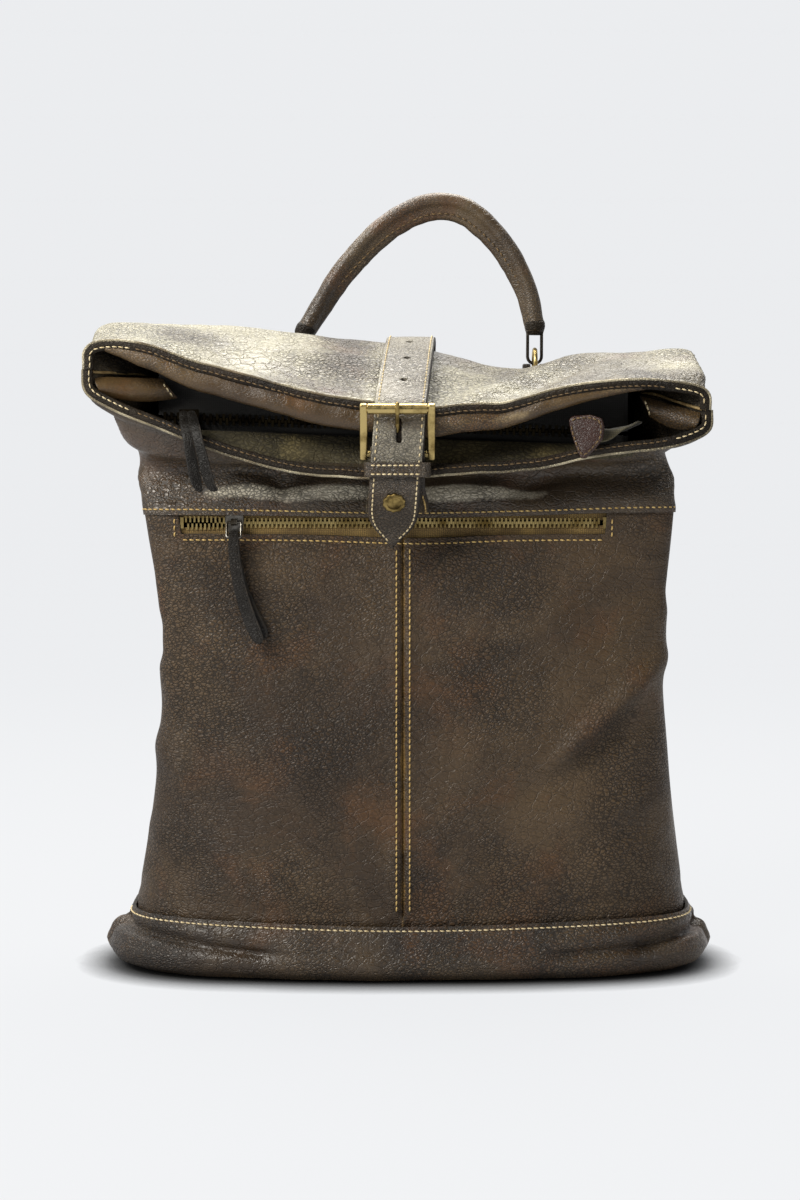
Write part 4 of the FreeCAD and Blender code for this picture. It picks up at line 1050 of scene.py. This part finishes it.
def make_front_stitches():
    rows = []
    for x in (-4.1, 4.1):
        zs = np.linspace(43, 274, 90)
        rows.append(on_front(np.full(90, x), zs))
    stitches("CentreStitch", rows, gold_thread)
    xs = np.linspace(-137, 127, 110)
    low = on_front(xs, np.full(110, 275.6))
    left = on_front(np.full(8, -141.0), np.linspace(276.5, 289.5, 8))
    right = on_front(np.full(8, 129.0), np.linspace(276.5, 289.5, 8))
    stitches("PocketStitch", [low, left, right], gold_thread)
    xs = np.linspace(-166, 172, 150)
    zs = 294.3 - 2.2 * np.exp(-(xs / 80) ** 2) + 1.2 * smooth((xs - 80) / 70)
    stitches("YokeStitch", [on_front(xs, zs, yoke=True)], gold_thread)


make_front()
make_yoke()
make_flap()
make_back()
make_base()
make_rim()
make_facings()
make_front_stitches()

# ---- zips ----------------------------------------------------------------------------------------
# The main zip's metal takes the near-black brass that paints the shade inside the mouth.
for node, material in (("pocket_zip_teeth", bright_brass), ("pocket_zip_stops", bright_brass),
                       ("main_zip_teeth", mouth_shade_brass), ("pocket_slider", dark_metal), ("pocket_bail", dark_metal),
                       ("main_slider", mouth_shade_brass), ("main_bail", mouth_shade_brass), ("buckle_frame", bright_brass),
                       ("buckle_roller", bright_brass), ("buckle_prong", old_brass),
                       ("handle_ring_left", bright_brass), ("handle_ring_right", bright_brass),
                       ("strap_slider_left", old_brass), ("strap_slider_right", old_brass),
                       ("lower_ring_left", old_brass), ("lower_ring_right", old_brass)):
    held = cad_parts[node]
    held.data.materials.clear()
    held.data.materials.append(material)



# ---- small helpers for straps --------------------------------------------------------------------
def carve(obj, cutters):
    """Cuts holes through a mesh with closed cutter meshes, which are then removed."""
    for cutter in cutters:
        cut = obj.modifiers.new("Cut", "BOOLEAN")
        cut.object = cutter
        cut.solver = "EXACT"
        held = bpy.data.meshes.new_from_object(obj.evaluated_get(bpy.context.evaluated_depsgraph_get()))
        obj.modifiers.remove(cut)
        obj.data = held
        bpy.data.objects.remove(cutter)


def frames(path, normals):
    path, normals = np.asarray(path, float), unit(np.asarray(normals, float))
    tangent = unit(np.gradient(path, axis=0))
    across = unit(np.cross(tangent, normals))
    return across, unit(np.cross(across, tangent))


def along_strap(path, normals, offset, rise):
    """A line on a strap's face, offset sideways and lifted off its inner face."""
    across, out = frames(path, normals)
    offset = np.broadcast_to(np.asarray(offset, float), (len(path),))
    return path + across * offset[:, None] + out * rise, out


def flat_strap(name, path, normals, widths, thick, materials, crown=0.3, wear_and_sheen=0.2, seed=1):
    """A leather strap of varying width, with softened dark edges and a slight crown."""
    widths = np.broadcast_to(np.asarray(widths, float), (len(path),))
    sections = np.array([strap_section(w, thick, crown) for w in widths])
    cols = sections.shape[1]
    across, _ = frames(path, normals)
    rim = np.abs(sections[..., 0]) / (widths[:, None] / 2)
    value = wear_and_sheen + 0.5 * np.clip((rim - 0.86) / 0.14, 0, 1) * (sections[..., 1] > thick * 0.6)
    grit = noise(path[:, None] + across[:, None] * sections[..., :1], 12, seed)
    obj = sweep(name, path, normals, sections, materials, wear_and_sheen=value + 0.25 * grit)
    if len(materials) > 1:
        for face in obj.data.polygons:
            ring = [v % cols for v in face.vertices]
            if len(face.vertices) > 4 or all(r < 6 for r in ring) and min(ring) < 3:
                face.material_index = 1
            if all(16 < r < 26 for r in ring):
                face.material_index = 1
    return obj


def yz_normals(path):
    """Outward normals of a path in the plane x = const that runs up the back and down the front."""
    tangent = np.gradient(np.asarray(path, float), axis=0)
    return unit(np.stack([0 * tangent[:, 0], tangent[:, 2], -tangent[:, 1]], 1))


# ---- closure strap -------------------------------------------------------------------------------
TIP_SPLIT = 318.5
STRAP_WIDE, STRAP_THICK = 31.0, 3.0


def strap_x(y, z):
    return -4.5 + 0.075 * ((z - 314.5) + np.maximum(0.0, y + 94) * 0.45)


def strap_line(points, count):
    line = spline(points, count)
    y, z = line[:, 0], line[:, 1]
    return np.stack([strap_x(y, z), y, z], 1)


def make_closure_strap():
    upper = ((50.6, 346.0), (47.0, 362.0), (38.0, 383.0), (25.0, 396.5), (5.0, 398.8), (-20.0, 392.5),
             (-52.0, 380.5), (-80.0, 366.5), (-94.0, 360.0), (-100.5, 352.5), (-102.9, 343.0), (-103.0, 329.0),
             (-102.8, TIP_SPLIT))
    path = strap_line(upper, 150)
    normals = yz_normals(path)
    lining = flat_strap("ClosureStrapLining", path, normals, STRAP_WIDE + 0.3, 1.25, [dark_leather], 0.0, 0.1, 3)
    place(lining, "bag", ["closure_strap_lining"], "strap_leather")
    strap = flat_strap("ClosureStrap", path + normals * 1.2, normals, STRAP_WIDE, STRAP_THICK - 1.1,
                       [strap_leather, edge_leather], 0.35, 0.25, 5)
    cutters = []
    for y in (-71.0, -42.0, -12.0):
        k = int(np.argmin(np.abs(path[:, 1] - y) + (path[:, 2] < 360) * 1e3))
        hole = np.array([path[k] - normals[k] * 3, path[k] + normals[k] * 8])
        cutters.append(sweep("Cutter", hole, [(1, 0, 0)] * 2, circle(2.0, 24), []))
    slot = [(1.7 * math.cos(a), 8.0 + 1.7 * math.sin(a) + (8.0 if a < PI else -3.5))
            for a in np.linspace(0, 2 * PI, 24, False)]
    x = strap_x(-103, 341)
    slot_path = np.array([(x, -92, 333.0), (x, -112, 333.0)])
    cutters.append(sweep("Cutter", slot_path, [(0, 0, 1)] * 2, np.array(slot), []))
    carve(strap, cutters)
    place(strap, "bag", ["closure_strap"], "strap_leather")
    rows = []
    for side in (-1, 1):
        rows.append(along_strap(path, normals, side * (STRAP_WIDE / 2 - 2.3), STRAP_THICK + 0.25))
    stitches("ClosureStrapStitch", rows, cream_thread, pitch=4.3, length=2.3, slant=0.1)


def tip_width(t):
    return np.interp(t, (0, 0.45, 0.58, 0.70, 0.80, 0.88, 0.95, 1.0), (31, 31, 29.4, 25.4, 19.0, 12.0, 5.6, 1.0))


def make_tip():
    """The pointed end of the strap below the keeper, with its border stitching and a plain domed stud."""
    lower = ((-102.8, TIP_SPLIT), (-102.5, 314.0), (-100.0, 306.0), (-92.5, 296.0), (-82.0, 285.0), (-75.0, 273.0))
    path = strap_line(lower, 60)
    normals = yz_normals(path)
    t = np.linspace(0, 1, 60)
    tip = flat_strap("ClosureStrapTip", path, normals, tip_width(t), STRAP_THICK, [tip_leather, edge_leather],
                     0.3, 0.2, 7)
    left = along_strap(path[:55], normals[:55], (tip_width(t) / 2 - 2.6)[:55].clip(0.4), STRAP_THICK + 0.15)
    right = along_strap(path[:55], normals[:55], -(tip_width(t) / 2 - 2.6)[:55].clip(0.4), STRAP_THICK + 0.15)
    rows = [left, right]
    thread = stitches("TipStitch", rows, cream_thread, slant=0.1, pitch=3.4, length=2.6)
    for piece in (tip, thread):
        piece.parent = None
        piece.matrix_world.identity()
        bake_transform(piece)
    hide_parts("closure_strap_tip")
    k = 19
    centre, out = path[k] + normals[k] * (STRAP_THICK + 0.2), normals[k]
    profile = ((0.0, 2.7), (1.6, 2.6), (3.0, 2.2), (4.1, 1.5), (4.5, 1.1), (5.0, 1.25), (5.6, 1.5), (6.2, 1.35),
               (6.7, 0.8), (6.8, 0.1), (6.6, -0.4))
    lathe("TipStud", centre, out, profile, old_brass, 40, "strap_tip", ["tip_stud"], "brass", petals=10)


def lathe(name, centre, axis, profile, material, count, body, nodes, slot_name, petals=0):
    """A turned piece about an axis; petals scallop its outer half a little."""
    axis = unit(np.asarray(axis, float))
    u = unit(np.cross(axis, (1.0, 0.1, 0.0)))
    v = np.cross(axis, u)
    verts = [centre + axis * profile[0][1]]
    for r, h in profile[1:]:
        for a in np.linspace(0, 2 * PI, count, endpoint=False):
            scallop = 1 + (0.05 * math.cos(petals * a) if petals and r > 4.6 else 0)
            verts.append(centre + (u * math.cos(a) + v * math.sin(a)) * r * scallop + axis * h)
    faces = [(0, 1 + j, 1 + (j + 1) % count) for j in range(count)]
    rings = len(profile) - 1
    for i in range(rings - 1):
        for j in range(count):
            k = (j + 1) % count
            near, far = 1 + i * count, 1 + (i + 1) * count
            faces.append((near + j, far + j, far + k, near + k))
    faces.append(tuple(1 + (rings - 1) * count + j for j in range(count))[::-1])
    return place(face_outward(mesh_of(name, verts, faces, [material])), body, nodes, slot_name)


def rounded_loop(half_x, half_y, radius):
    points = []
    for cx, cy, start in ((half_x - radius, -half_y + radius, -90), (half_x - radius, half_y - radius, 0),
                          (-half_x + radius, half_y - radius, 90), (-half_x + radius, -half_y + radius, 180)):
        points += [(cx + radius * math.cos(math.radians(a)), cy + radius * math.sin(math.radians(a)))
                   for a in np.linspace(start, start + 90, 6)]
    return np.array(points)


def make_buckle_tab():
    """The sewn keeper and the tab whose folded end holds the heel of the buckle."""
    x = float(strap_x(-98.5, 329))
    loop = rounded_loop(18.0, 5.4, 2.6)
    path = np.stack([x + loop[:, 0], -101.6 + loop[:, 1], np.full(len(loop), 320.0)], 1)
    out = np.stack([loop[:, 0] / 18.0, loop[:, 1] / 5.4, 0 * loop[:, 0]], 1)
    corner = unit(np.sign(out) * np.abs(out) ** 5)
    keeper = sweep("StrapKeeper", path, corner, strap_section(8.8, 1.9), [tip_leather], closed=True,
                   wear_and_sheen=np.full(len(path) * len(strap_section(8.8, 1.9)), 0.25))
    place(keeper, "bag", ["strap_keeper"], "strap_leather")
    front = np.stack([np.linspace(x - 16.5, x + 16.5, 20), np.full(20, -108.95), np.full(20, 320.0)], 1)
    face = np.broadcast_to((0, -1.0, 0), front.shape)
    rows = [(front + (0, 0, dz), face) for dz in (-2.6, 2.6)]
    stitches("KeeperStitch", rows, cream_thread, pitch=3.3, length=2.6, slant=0)
    tab_path = ((-94.9, 320.5), (-94.9, 326.0), (-96.0, 330.8), (-98.5, 332.2), (-101.0, 330.8), (-101.7, 327.0),
                (-100.8, 322.0), (-99.8, 316.0), (-96.0, 308.0), (-86.0, 302.2), (-73.0, 299.5), (-62.4, 294.4))
    line = spline(tab_path, 90)
    path = np.stack([np.full(90, x), line[:, 0], line[:, 1]], 1)
    widths = np.interp(np.linspace(0, 1, 90), (0, 0.5, 0.66, 1), (32, 33, 37, 39.5))
    normals = yz_normals(path)
    tab = flat_strap("BuckleTab", path, normals, widths, 1.9, [tab_leather, edge_leather], 0.2, 0.15, 9)
    place(tab, "bag", ["buckle_tab"], "strap_leather")
    rows = [along_strap(path[50:], normals[50:], side * (widths[50:] / 2 - 2.4), 2.15) for side in (-1, 1)]
    stitches("BuckleTabStitch", rows, gold_thread, pitch=3.6, length=2.8)


# ---- handle --------------------------------------------------------------------------------------
HANDLE_Y = 57.0
RING_X = (-70.0, 87.0)


def make_handle():
    knots = ((-66.0, 405.0), (-61.5, 413.5), (-54.0, 427.0), (-41.2, 448.0), (-18.4, 473.6), (4.1, 488.6),
             (25.0, 493.4), (45.7, 487.6), (67.8, 465.6), (82.4, 437.0), (86.8, 415.0), (87.0, 407.5))
    line = spline(knots, 150)
    path = np.stack([line[:, 0], np.full(150, HANDLE_Y), line[:, 1]], 1)
    tangent = unit(np.gradient(path, axis=0))
    normals = np.stack([-tangent[:, 2], 0 * tangent[:, 0], tangent[:, 0]], 1)
    angles = np.linspace(-PI / 2, 1.5 * PI, 36, endpoint=False)
    base = np.stack([np.cos(angles), np.sin(angles)], 1)
    sections = []
    for k, t in enumerate(np.linspace(0, 1, 150)):
        girth = 6.2 - 1.5 * math.sin(PI * t) ** 0.6 + 0.1 * math.sin(41 * t) + 0.08 * math.sin(97 * t)
        section = base * girth
        inward = np.exp(-(np.cos(angles) / 0.30) ** 2)
        section[:, 1] -= 8.6 * inward * (np.sin(angles) < 0) * math.sin(PI * t) ** 0.7
        sections.append(section)
    sections = np.array(sections)
    wrinkle = 0.22 * noise(path[:, None] + base[None, :, :1] * 6, 4.2, 15)
    sections *= (1 + wrinkle * 0.10)[..., None]
    # Paler on the upper, outer side of the grip: partly rubbing, partly a painted highlight of the light from above.
    wear_and_sheen = 0.35 * smooth(base[None, :, 1] * 1.2) + 0.3 * noise(path[:, None] + 0 * wrinkle[..., None], 20, 16)
    grip = sweep("HandleGrip", path, normals, sections, [handle_leather], wear_and_sheen=wear_and_sheen)
    place(grip, "handle", ["handle_grip", "handle_core"], "body_leather")
    front = path - normals * (9.2 * np.sin(PI * np.linspace(0, 1, 150)) ** 0.7)[:, None] + np.array([0, -1.7, 0])
    stitches("HandleStitch", [(front[22:-18], np.broadcast_to((0, -1.0, 0), front[22:-18].shape))], dark_thread,
             "handle", pitch=4.2, length=3.2)
    for name, x, start, lead in (("Left", RING_X[0], 0, 1), ("Right", RING_X[1], len(path) - 1, -1)):
        sleeve_path = np.array([path[start + lead * k] for k in range(0, 5)])
        sleeve_path[0] += np.array([0, 0, -2.5])
        radii = np.array([5.4, 6.5, 6.75, 6.7, 6.2])
        sleeve = sweep("HandleSleeve" + name, sleeve_path, [normals[start]] * 5,
                       circle(1.0, 28)[None] * radii[:, None, None], [dark_leather])
        place(sleeve, "handle", slot="edge_leather")
        low, foot = 390.85, 409.0 if name == "Right" else 402.5
        bend = [(-4.6, foot), (-4.6, (low + foot) / 2)]
        bend += [(4.6 * math.cos(a), low + 4.6 * math.sin(a)) for a in np.linspace(PI, 2 * PI, 13)]
        bend += [(4.6, (low + foot) / 2), (4.6, foot)]
        bend = np.array(bend)
        loop_path = np.stack([x + bend[:, 0], np.full(len(bend), HANDLE_Y), bend[:, 1]], 1)
        direction = np.gradient(loop_path, axis=0)
        loop_normals = unit(np.stack([-direction[:, 2], 0 * direction[:, 0], direction[:, 0]], 1)) * -1
        loop = sweep("HandleLoop" + name, loop_path, loop_normals, strap_section(7.0, 1.8) - np.array([0, 0.9]),
                     [dark_leather], wear_and_sheen=None)
        place(loop, "handle", ["handle_loop_" + name.lower()], "edge_leather")
        make_anchor(name, x)


def make_anchor(name, x):
    """A tab sewn to the back of the roll, split at its folded end to let the ring through."""
    fold = ((54.6, 366.0), (54.8, 376.0), (55.0, 380.0), (54.0, 383.6), (52.3, 384.6), (50.4, 383.2), (50.0, 379.0),
            (50.6, 372.0), (51.0, 362.0))
    line = spline(fold, 40)
    for k, side in enumerate((-1, 1)):
        path = np.stack([np.full(40, x + side * 5.5), line[:, 0], line[:, 1]], 1)
        arm = flat_strap(f"HandleAnchorArm{name}{k}", path, yz_normals(path), 5.2, 1.4, [dark_leather], 0.1, 0.2, 4)
        place(arm, "bag", slot="body_leather")
    foot = spline(((54.4, 364.0), (54.6, 357.0), (54.9, 345.5)), 20)[::-1]
    path = np.stack([np.full(20, x), foot[:, 0], foot[:, 1]], 1)
    widths = np.interp(np.linspace(0, 1, 20), (0, 0.15, 0.8, 1), (17, 22, 22, 19))
    plate = flat_strap("HandleAnchor" + name, path, np.broadcast_to((0, 1.0, 0), path.shape), widths, 1.8,
                       [body_leather, edge_leather], 0.2, 0.2, 6)
    place(plate, "bag", ["handle_anchor_" + name.lower()], "body_leather")
    rows = []
    for side in (-1, 1):
        rows.append(along_strap(path[1:-1], np.broadcast_to((0, 1.0, 0), path[1:-1].shape), side * 8.6, 2.0))
    stitches("HandleAnchorStitch" + name, rows, gold_thread)


# ---- pulls, zip tapes and the end tab ------------------------------------------------------------
def leather_strip(name, points, normals, widths, thick, material, body, nodes, seed):
    count = 70
    line = spline(np.hstack([points, normals, np.asarray(widths, float)[:, None]]), count)
    path, face, wide = line[:, :3], unit(line[:, 3:6]), np.clip(line[:, 6], 0.6, None)
    strip = flat_strap(name, path, face, wide, thick, [material, edge_leather], 0.25, 0.15, seed)
    return place(strip, body, nodes, "edge_leather")


def make_pocket_pull():
    x, y, z = -104.0, -63.5, 277.6
    points, normals, widths = [], [], []
    for t in (1.0, 0.94, 0.75, 0.5, 0.25, 0.08):
        points.append((x + 19.5 * t * t, y + 1.3 - 2.0 * t, z - 1 - 61 * t))
        normals.append((0.35 * t, 1.0, 0.1))
        widths.append(2.0 if t == 1 else 6.6 + 2.4 * t if t < 0.94 else 7.4)
    for a in (200, 145, 90, 35, -20):
        r = math.radians(a)
        points.append((x, y - 1.9 * math.cos(r), z + 1.9 * math.sin(r)))
        normals.append((0, -math.cos(r), math.sin(r)))
        widths.append(6.0)
    for t in (0.08, 0.25, 0.5, 0.75, 0.94, 1.0):
        points.append((x + 15 * t * t + 2 * t, y - 1.9 - 4.6 * t, z - 1 - 64 * t))
        normals.append((-0.35 * t, -1.0, 0.1))
        widths.append(2.0 if t == 1 else 6.6 + 2.6 * t if t < 0.94 else 7.6)
    leather_strip("PocketPull", np.array(points), np.array(normals), widths, 1.7, pull_leather, "pocket_pull",
                  ["pocket_pull"], 11)


def make_main_pull():
    """Two narrow plies that leave the slider's bail, cross the lower lip and hang down the front."""
    eye = np.array((-131.0, -72.6, 350.3))
    for k, (start, end) in enumerate(((-2.4, 10.4), (2.4, 20.0))):
        shape = ((-0.5, 3.0, 4.6), (-5, 1.2, 5.6), (-11, -2.4, 6.2), (-18.0, -6.4, 6.2), (-22.4, -13, 6.2),
                 (-23.6, -22, 6.4), (-23.8, -33, 6.8), (-23.6 - 1.2 * k, -40.5, 5.6),
                 (-23.6 - 1.2 * k, -43.5 + k, 1.6))
        points, normals, widths = [], [], []
        for i, (dy, dz, wide) in enumerate(shape):
            t = i / (len(shape) - 1)
            points.append(eye + (start + (end - start) * t ** 1.5, dy - 0.4 * k, dz))
            normals.append(((0, -0.3, 1), (0, -0.2, 1), (0, -0.4, 1), (0, -0.9, 0.6))[min(i, 3)] if i < 4
                           else (0.25 - 0.5 * k, -1, 0.05))
            widths.append(wide)
        leather_strip(f"MainPull{k}", np.array(points), np.array(normals, float), widths, 1.7, pull_leather,
                      "main_pull", ["main_pull"] if k == 0 else [], 13 + k)


def wall_at(xs, y, front):
    """Height of the roll's front or back wall at those x, where it passes that y."""
    found = []
    values = np.linspace(5.4, 7.7, 47)
    for x in xs:
        best = min(((abs(float(q[1]) - y), float(q[2])) for q in
                    (skin(v, theta_for(x, v, front)) for v in values)), key=lambda c: c[0])
        found.append(best[1])
    return np.array(found)


def make_zip_tapes():
    y = -52.7
    for node, side in (("Upper", 1), ("Lower", -1)):
        xs = np.linspace(-144, 132, 140)
        zs = 286.0 + side * np.linspace(1.6, 13.0, 7)
        grid = np.array([[(x, y - 0.3 + 0.12 * math.sin(x / 9), z) for x in xs] for z in zs])
        near = smooth((-102 - grid[..., 0]) / 10) * np.exp(-((np.abs(grid[..., 2] - 286) - 1.6) / 2.5) ** 2)
        grid[..., 2] += side * 1.3 * near
        obj = sheet("PocketZipTape" + node, grid, [zip_cloth], 0.5, None, side < 0, bevel=0)
        place(obj, "bag", ["pocket_zip_tapes"] if side > 0 else [], "zip_tape")
    xs = np.linspace(-150, 138, 60)
    chain = 351.0 + (xs + 150) / 288 * -10.0
    # The main zip's tapes take the near-black cloth that paints the shade inside the mouth.
    for node, side, front in (("Upper", 1, False), ("Lower", -1, True)):
        wall = wall_at(xs, -57, front) - side * 4.0
        rows = []
        for t in np.linspace(0, 1, 8):
            z = (chain + side * 1.4) * (1 - t) + wall * t
            rows.append(np.stack([xs, -57 + 2.2 * math.sin(PI * t) + 0 * xs + 0.8 * np.sin(xs / 23), z], 1))
        obj = sheet("MainZipTape" + node, np.array(rows), [mouth_shade_cloth], 0.6, None, side > 0, bevel=0)
        place(obj, "bag", ["main_zip_tapes"] if side > 0 else [], "zip_tape")
    points = np.array([(141, -62, 345), (134, -70, 344.5), (124, -80, 342), (113, -87, 340.5)], float)
    line = spline(points, 30)
    tail = flat_strap("MainZipTail", line, np.broadcast_to((-0.7, -0.7, 0.15), line.shape), 14.0, 1.0,
                      [olive_cloth], 0.1, 0.1, 5)
    place(tail, "bag", ["main_zip_tail"], "zip_tape")


def make_end_tab():
    """The folded leather end of the main zip, with a pointed foot and stitches round its border."""
    outline = np.array([(-10.8, 8.0), (-9.0, 10.5), (2.0, 12.4), (9.0, 10.8), (10.8, 6.5), (10.6, -1.5), (6.4, -8.0),
                        (1.6, -14.0), (-1.4, -14.0), (-5.2, -7.5), (-9.2, 1.5)])
    dense = resample(np.vstack([outline, outline[:1]]), step=1.2)[:-1]
    centre = np.array((109.6, -88.0, 340.4))
    u, v = unit(np.array((0.97, -0.16, -0.10))), unit(np.array((0.10, 0.05, 0.99)))
    out = np.cross(u, v)
    out = out if out[1] < 0 else -out
    rings = []
    for scale, h in ((0.97, -2.4), (1.0, -1.7), (1.0, 1.2), (0.975, 2.1), (0.93, 2.5), (0.8, 2.3), (0.78, 2.4),
                     (0.5, 2.7), (0.02, 2.8)):
        rings.append(centre + (dense[:, :1] * u + dense[:, 1:] * v) * scale + out * h)
    rings = np.array(rings)
    wear_and_sheen = np.array([0.2, 0.3, 0.4, 0.65, 0.5, 0.1, 0.1, 0.1, 0.1])[:, None] + 0.2 * noise(rings, 8, 3)
    faces = grid_faces(len(rings), len(dense), wrap=True) + [tuple(range(len(dense)))[::-1]]
    tab = mesh_of("MainZipEndTab", rings.reshape(-1, 3), faces, [brown_leather], None, wear_and_sheen)
    place(face_outward(tab), "bag", ["main_zip_end_tab"], "brown_leather")
    ring = centre + (dense[:, :1] * u + dense[:, 1:] * v) * 0.86 + out * 2.5
    ring = np.vstack([ring, ring[:1]])
    stitches("EndTabStitch", [(ring, np.broadcast_to(out, ring.shape))], dark_thread, pitch=3.3, length=2.6)


# ---- back: shoulder straps, their rings and the anchor patch -------------------------------------
UPPER_STRAP = ((30.0, 63.6, 326.0), (33.0, 67.0, 306.0), (44.0, 82.0, 262.0), (62.0, 91.0, 212.0),
               (86.0, 92.0, 166.0), (104.0, 89.0, 132.0))
LOWER_STRAP = ((105.0, 85.4, 130.0), (118.0, 84.0, 108.0), (131.0, 81.5, 84.0))


def make_shoulder_straps():
    for name, side in (("left", -1), ("right", 1)):
        mirror = np.array([side, 1, 1])
        upper = spline(np.array(UPPER_STRAP) * mirror, 90)[::side]
        face = np.broadcast_to((0, 1.0, 0.15), upper.shape)
        widths = 38.0 - 0.8 * np.abs(np.sin(np.linspace(0, 9, 90)))
        strap = flat_strap("ShoulderStrap" + name.title(), upper, face, widths, 3.6, [body_leather, edge_leather],
                           1.2, 0.15, 21)
        place(strap, "bag", ["shoulder_strap_" + name], "body_leather")
        rows = [along_strap(upper[2:-2], face[2:-2], offset, 3.9) for offset in (-16.4, 16.4)]
        stitches("ShoulderStrapStitch" + name.title(), rows, gold_thread)
        lower = spline(np.array(LOWER_STRAP) * mirror, 50)[::side]
        face = np.broadcast_to((0, 1.0, 0.1), lower.shape)
        strap = flat_strap("LowerStrap" + name.title(), lower, face, 25.0, 2.8, [body_leather, edge_leather],
                           0.4, 0.15, 22)
        place(strap, "bag", ["lower_strap_" + name], "body_leather")
        rows = [along_strap(lower[2:-2], face[2:-2], offset, 3.05) for offset in (-10.2, 10.2)]
        stitches("LowerStrapStitch" + name.title(), rows, gold_thread)
        x = 134.0 * side
        fold = ((71.2, 54.0), (71.6, 64.0), (71.0, 70.5), (70.6, 74.5), (72.0, 77.6), (74.6, 78.6), (77.2, 76.8),
                (77.4, 73.5), (75.4, 70.6), (74.2, 64.0), (74.0, 54.5))
        line = spline(fold, 60)
        path = np.stack([np.full(60, x), line[:, 0], line[:, 1]], 1)
        normals = -yz_normals(path)
        tab = flat_strap("LowerRingTab" + name.title(), path, -normals, 22.0, 1.3, [body_leather, edge_leather],
                         0.1, 0.2, 23)
        place(tab, "bag", ["lower_ring_tab_" + name], "body_leather")
    s = np.linspace(3.03, 3.64, 26)
    thetas = np.array([[theta_for(x, v, False) for x in np.linspace(-60, 60, 60)] for v in s])
    p, n = skin(s[:, None], thetas), skin_normal(s[:, None], thetas)
    p = p + n * (3.0 + 0.3 * noise(p, 20, 31))[..., None]
    patch = sheet("StrapAnchorPatch", p, [body_leather, edge_leather], 2.2, None, True, 0.15 * noise(p, 14, 32))
    place(patch, "bag", ["strap_anchor_patch"], "body_leather")
    border = [(p[2, 2:-2], n[2, 2:-2]), (p[-3, 2:-2], n[-3, 2:-2]), (p[2:-2, 2], n[2:-2, 2]),
              (p[2:-2, -3], n[2:-2, -3])]
    stitches("AnchorPatchStitch", border, gold_thread)


# ---- linings -------------------------------------------------------------------------------------
def make_linings():
    """A slack cotton bag inside, open at the top, and the two plies of the front pocket's bag."""
    loop = resample(np.vstack([rounded_loop(121, 41, 8), rounded_loop(121, 41, 8)[:1]]), count=181)[:-1]
    rows = []
    for z in np.linspace(299, 8, 40):
        ring = np.stack([loop[:, 0], loop[:, 1], np.full(180, z)], 1)
        pull = 0.8 * noise(ring, 34, 41)
        rows.append(ring + unit(ring * np.array([0.2, 1, 0])) * pull[:, None])
    for scale in (0.9, 0.6, 0.3, 0.02):
        ring = np.stack([loop[:, 0] * scale, loop[:, 1] * scale, np.full(180, 7.4)], 1)
        rows.append(ring)
    lining = sheet("MainLining", np.array(rows), [lining_cloth], 0, None, True, bevel=0, wrap=True)
    place(lining, "bag", ["main_lining"], "lining_cloth")
    for k, depth in enumerate((4.0, 12.0)):
        s = np.linspace(1.3, 2.6, 20)
        thetas = np.array([[theta_for(x, v) for x in np.linspace(-112, 112, 60)] for v in s])
        p, n = skin(s[:, None], thetas), skin_normal(s[:, None], thetas)
        p = p - n * (depth + 0.6 * noise(p, 30, 43 + k))[..., None]
        ply = sheet(f"PocketLining{k}", p, [lining_cloth], 0.6, None, False, bevel=0)
        place(ply, "bag", ["pocket_lining"] if k == 0 else [], "lining_cloth")


make_closure_strap()
make_tip()
make_buckle_tab()
make_handle()
make_pocket_pull()
make_main_pull()
make_zip_tapes()
make_end_tab()
make_shoulder_straps()
make_linings()
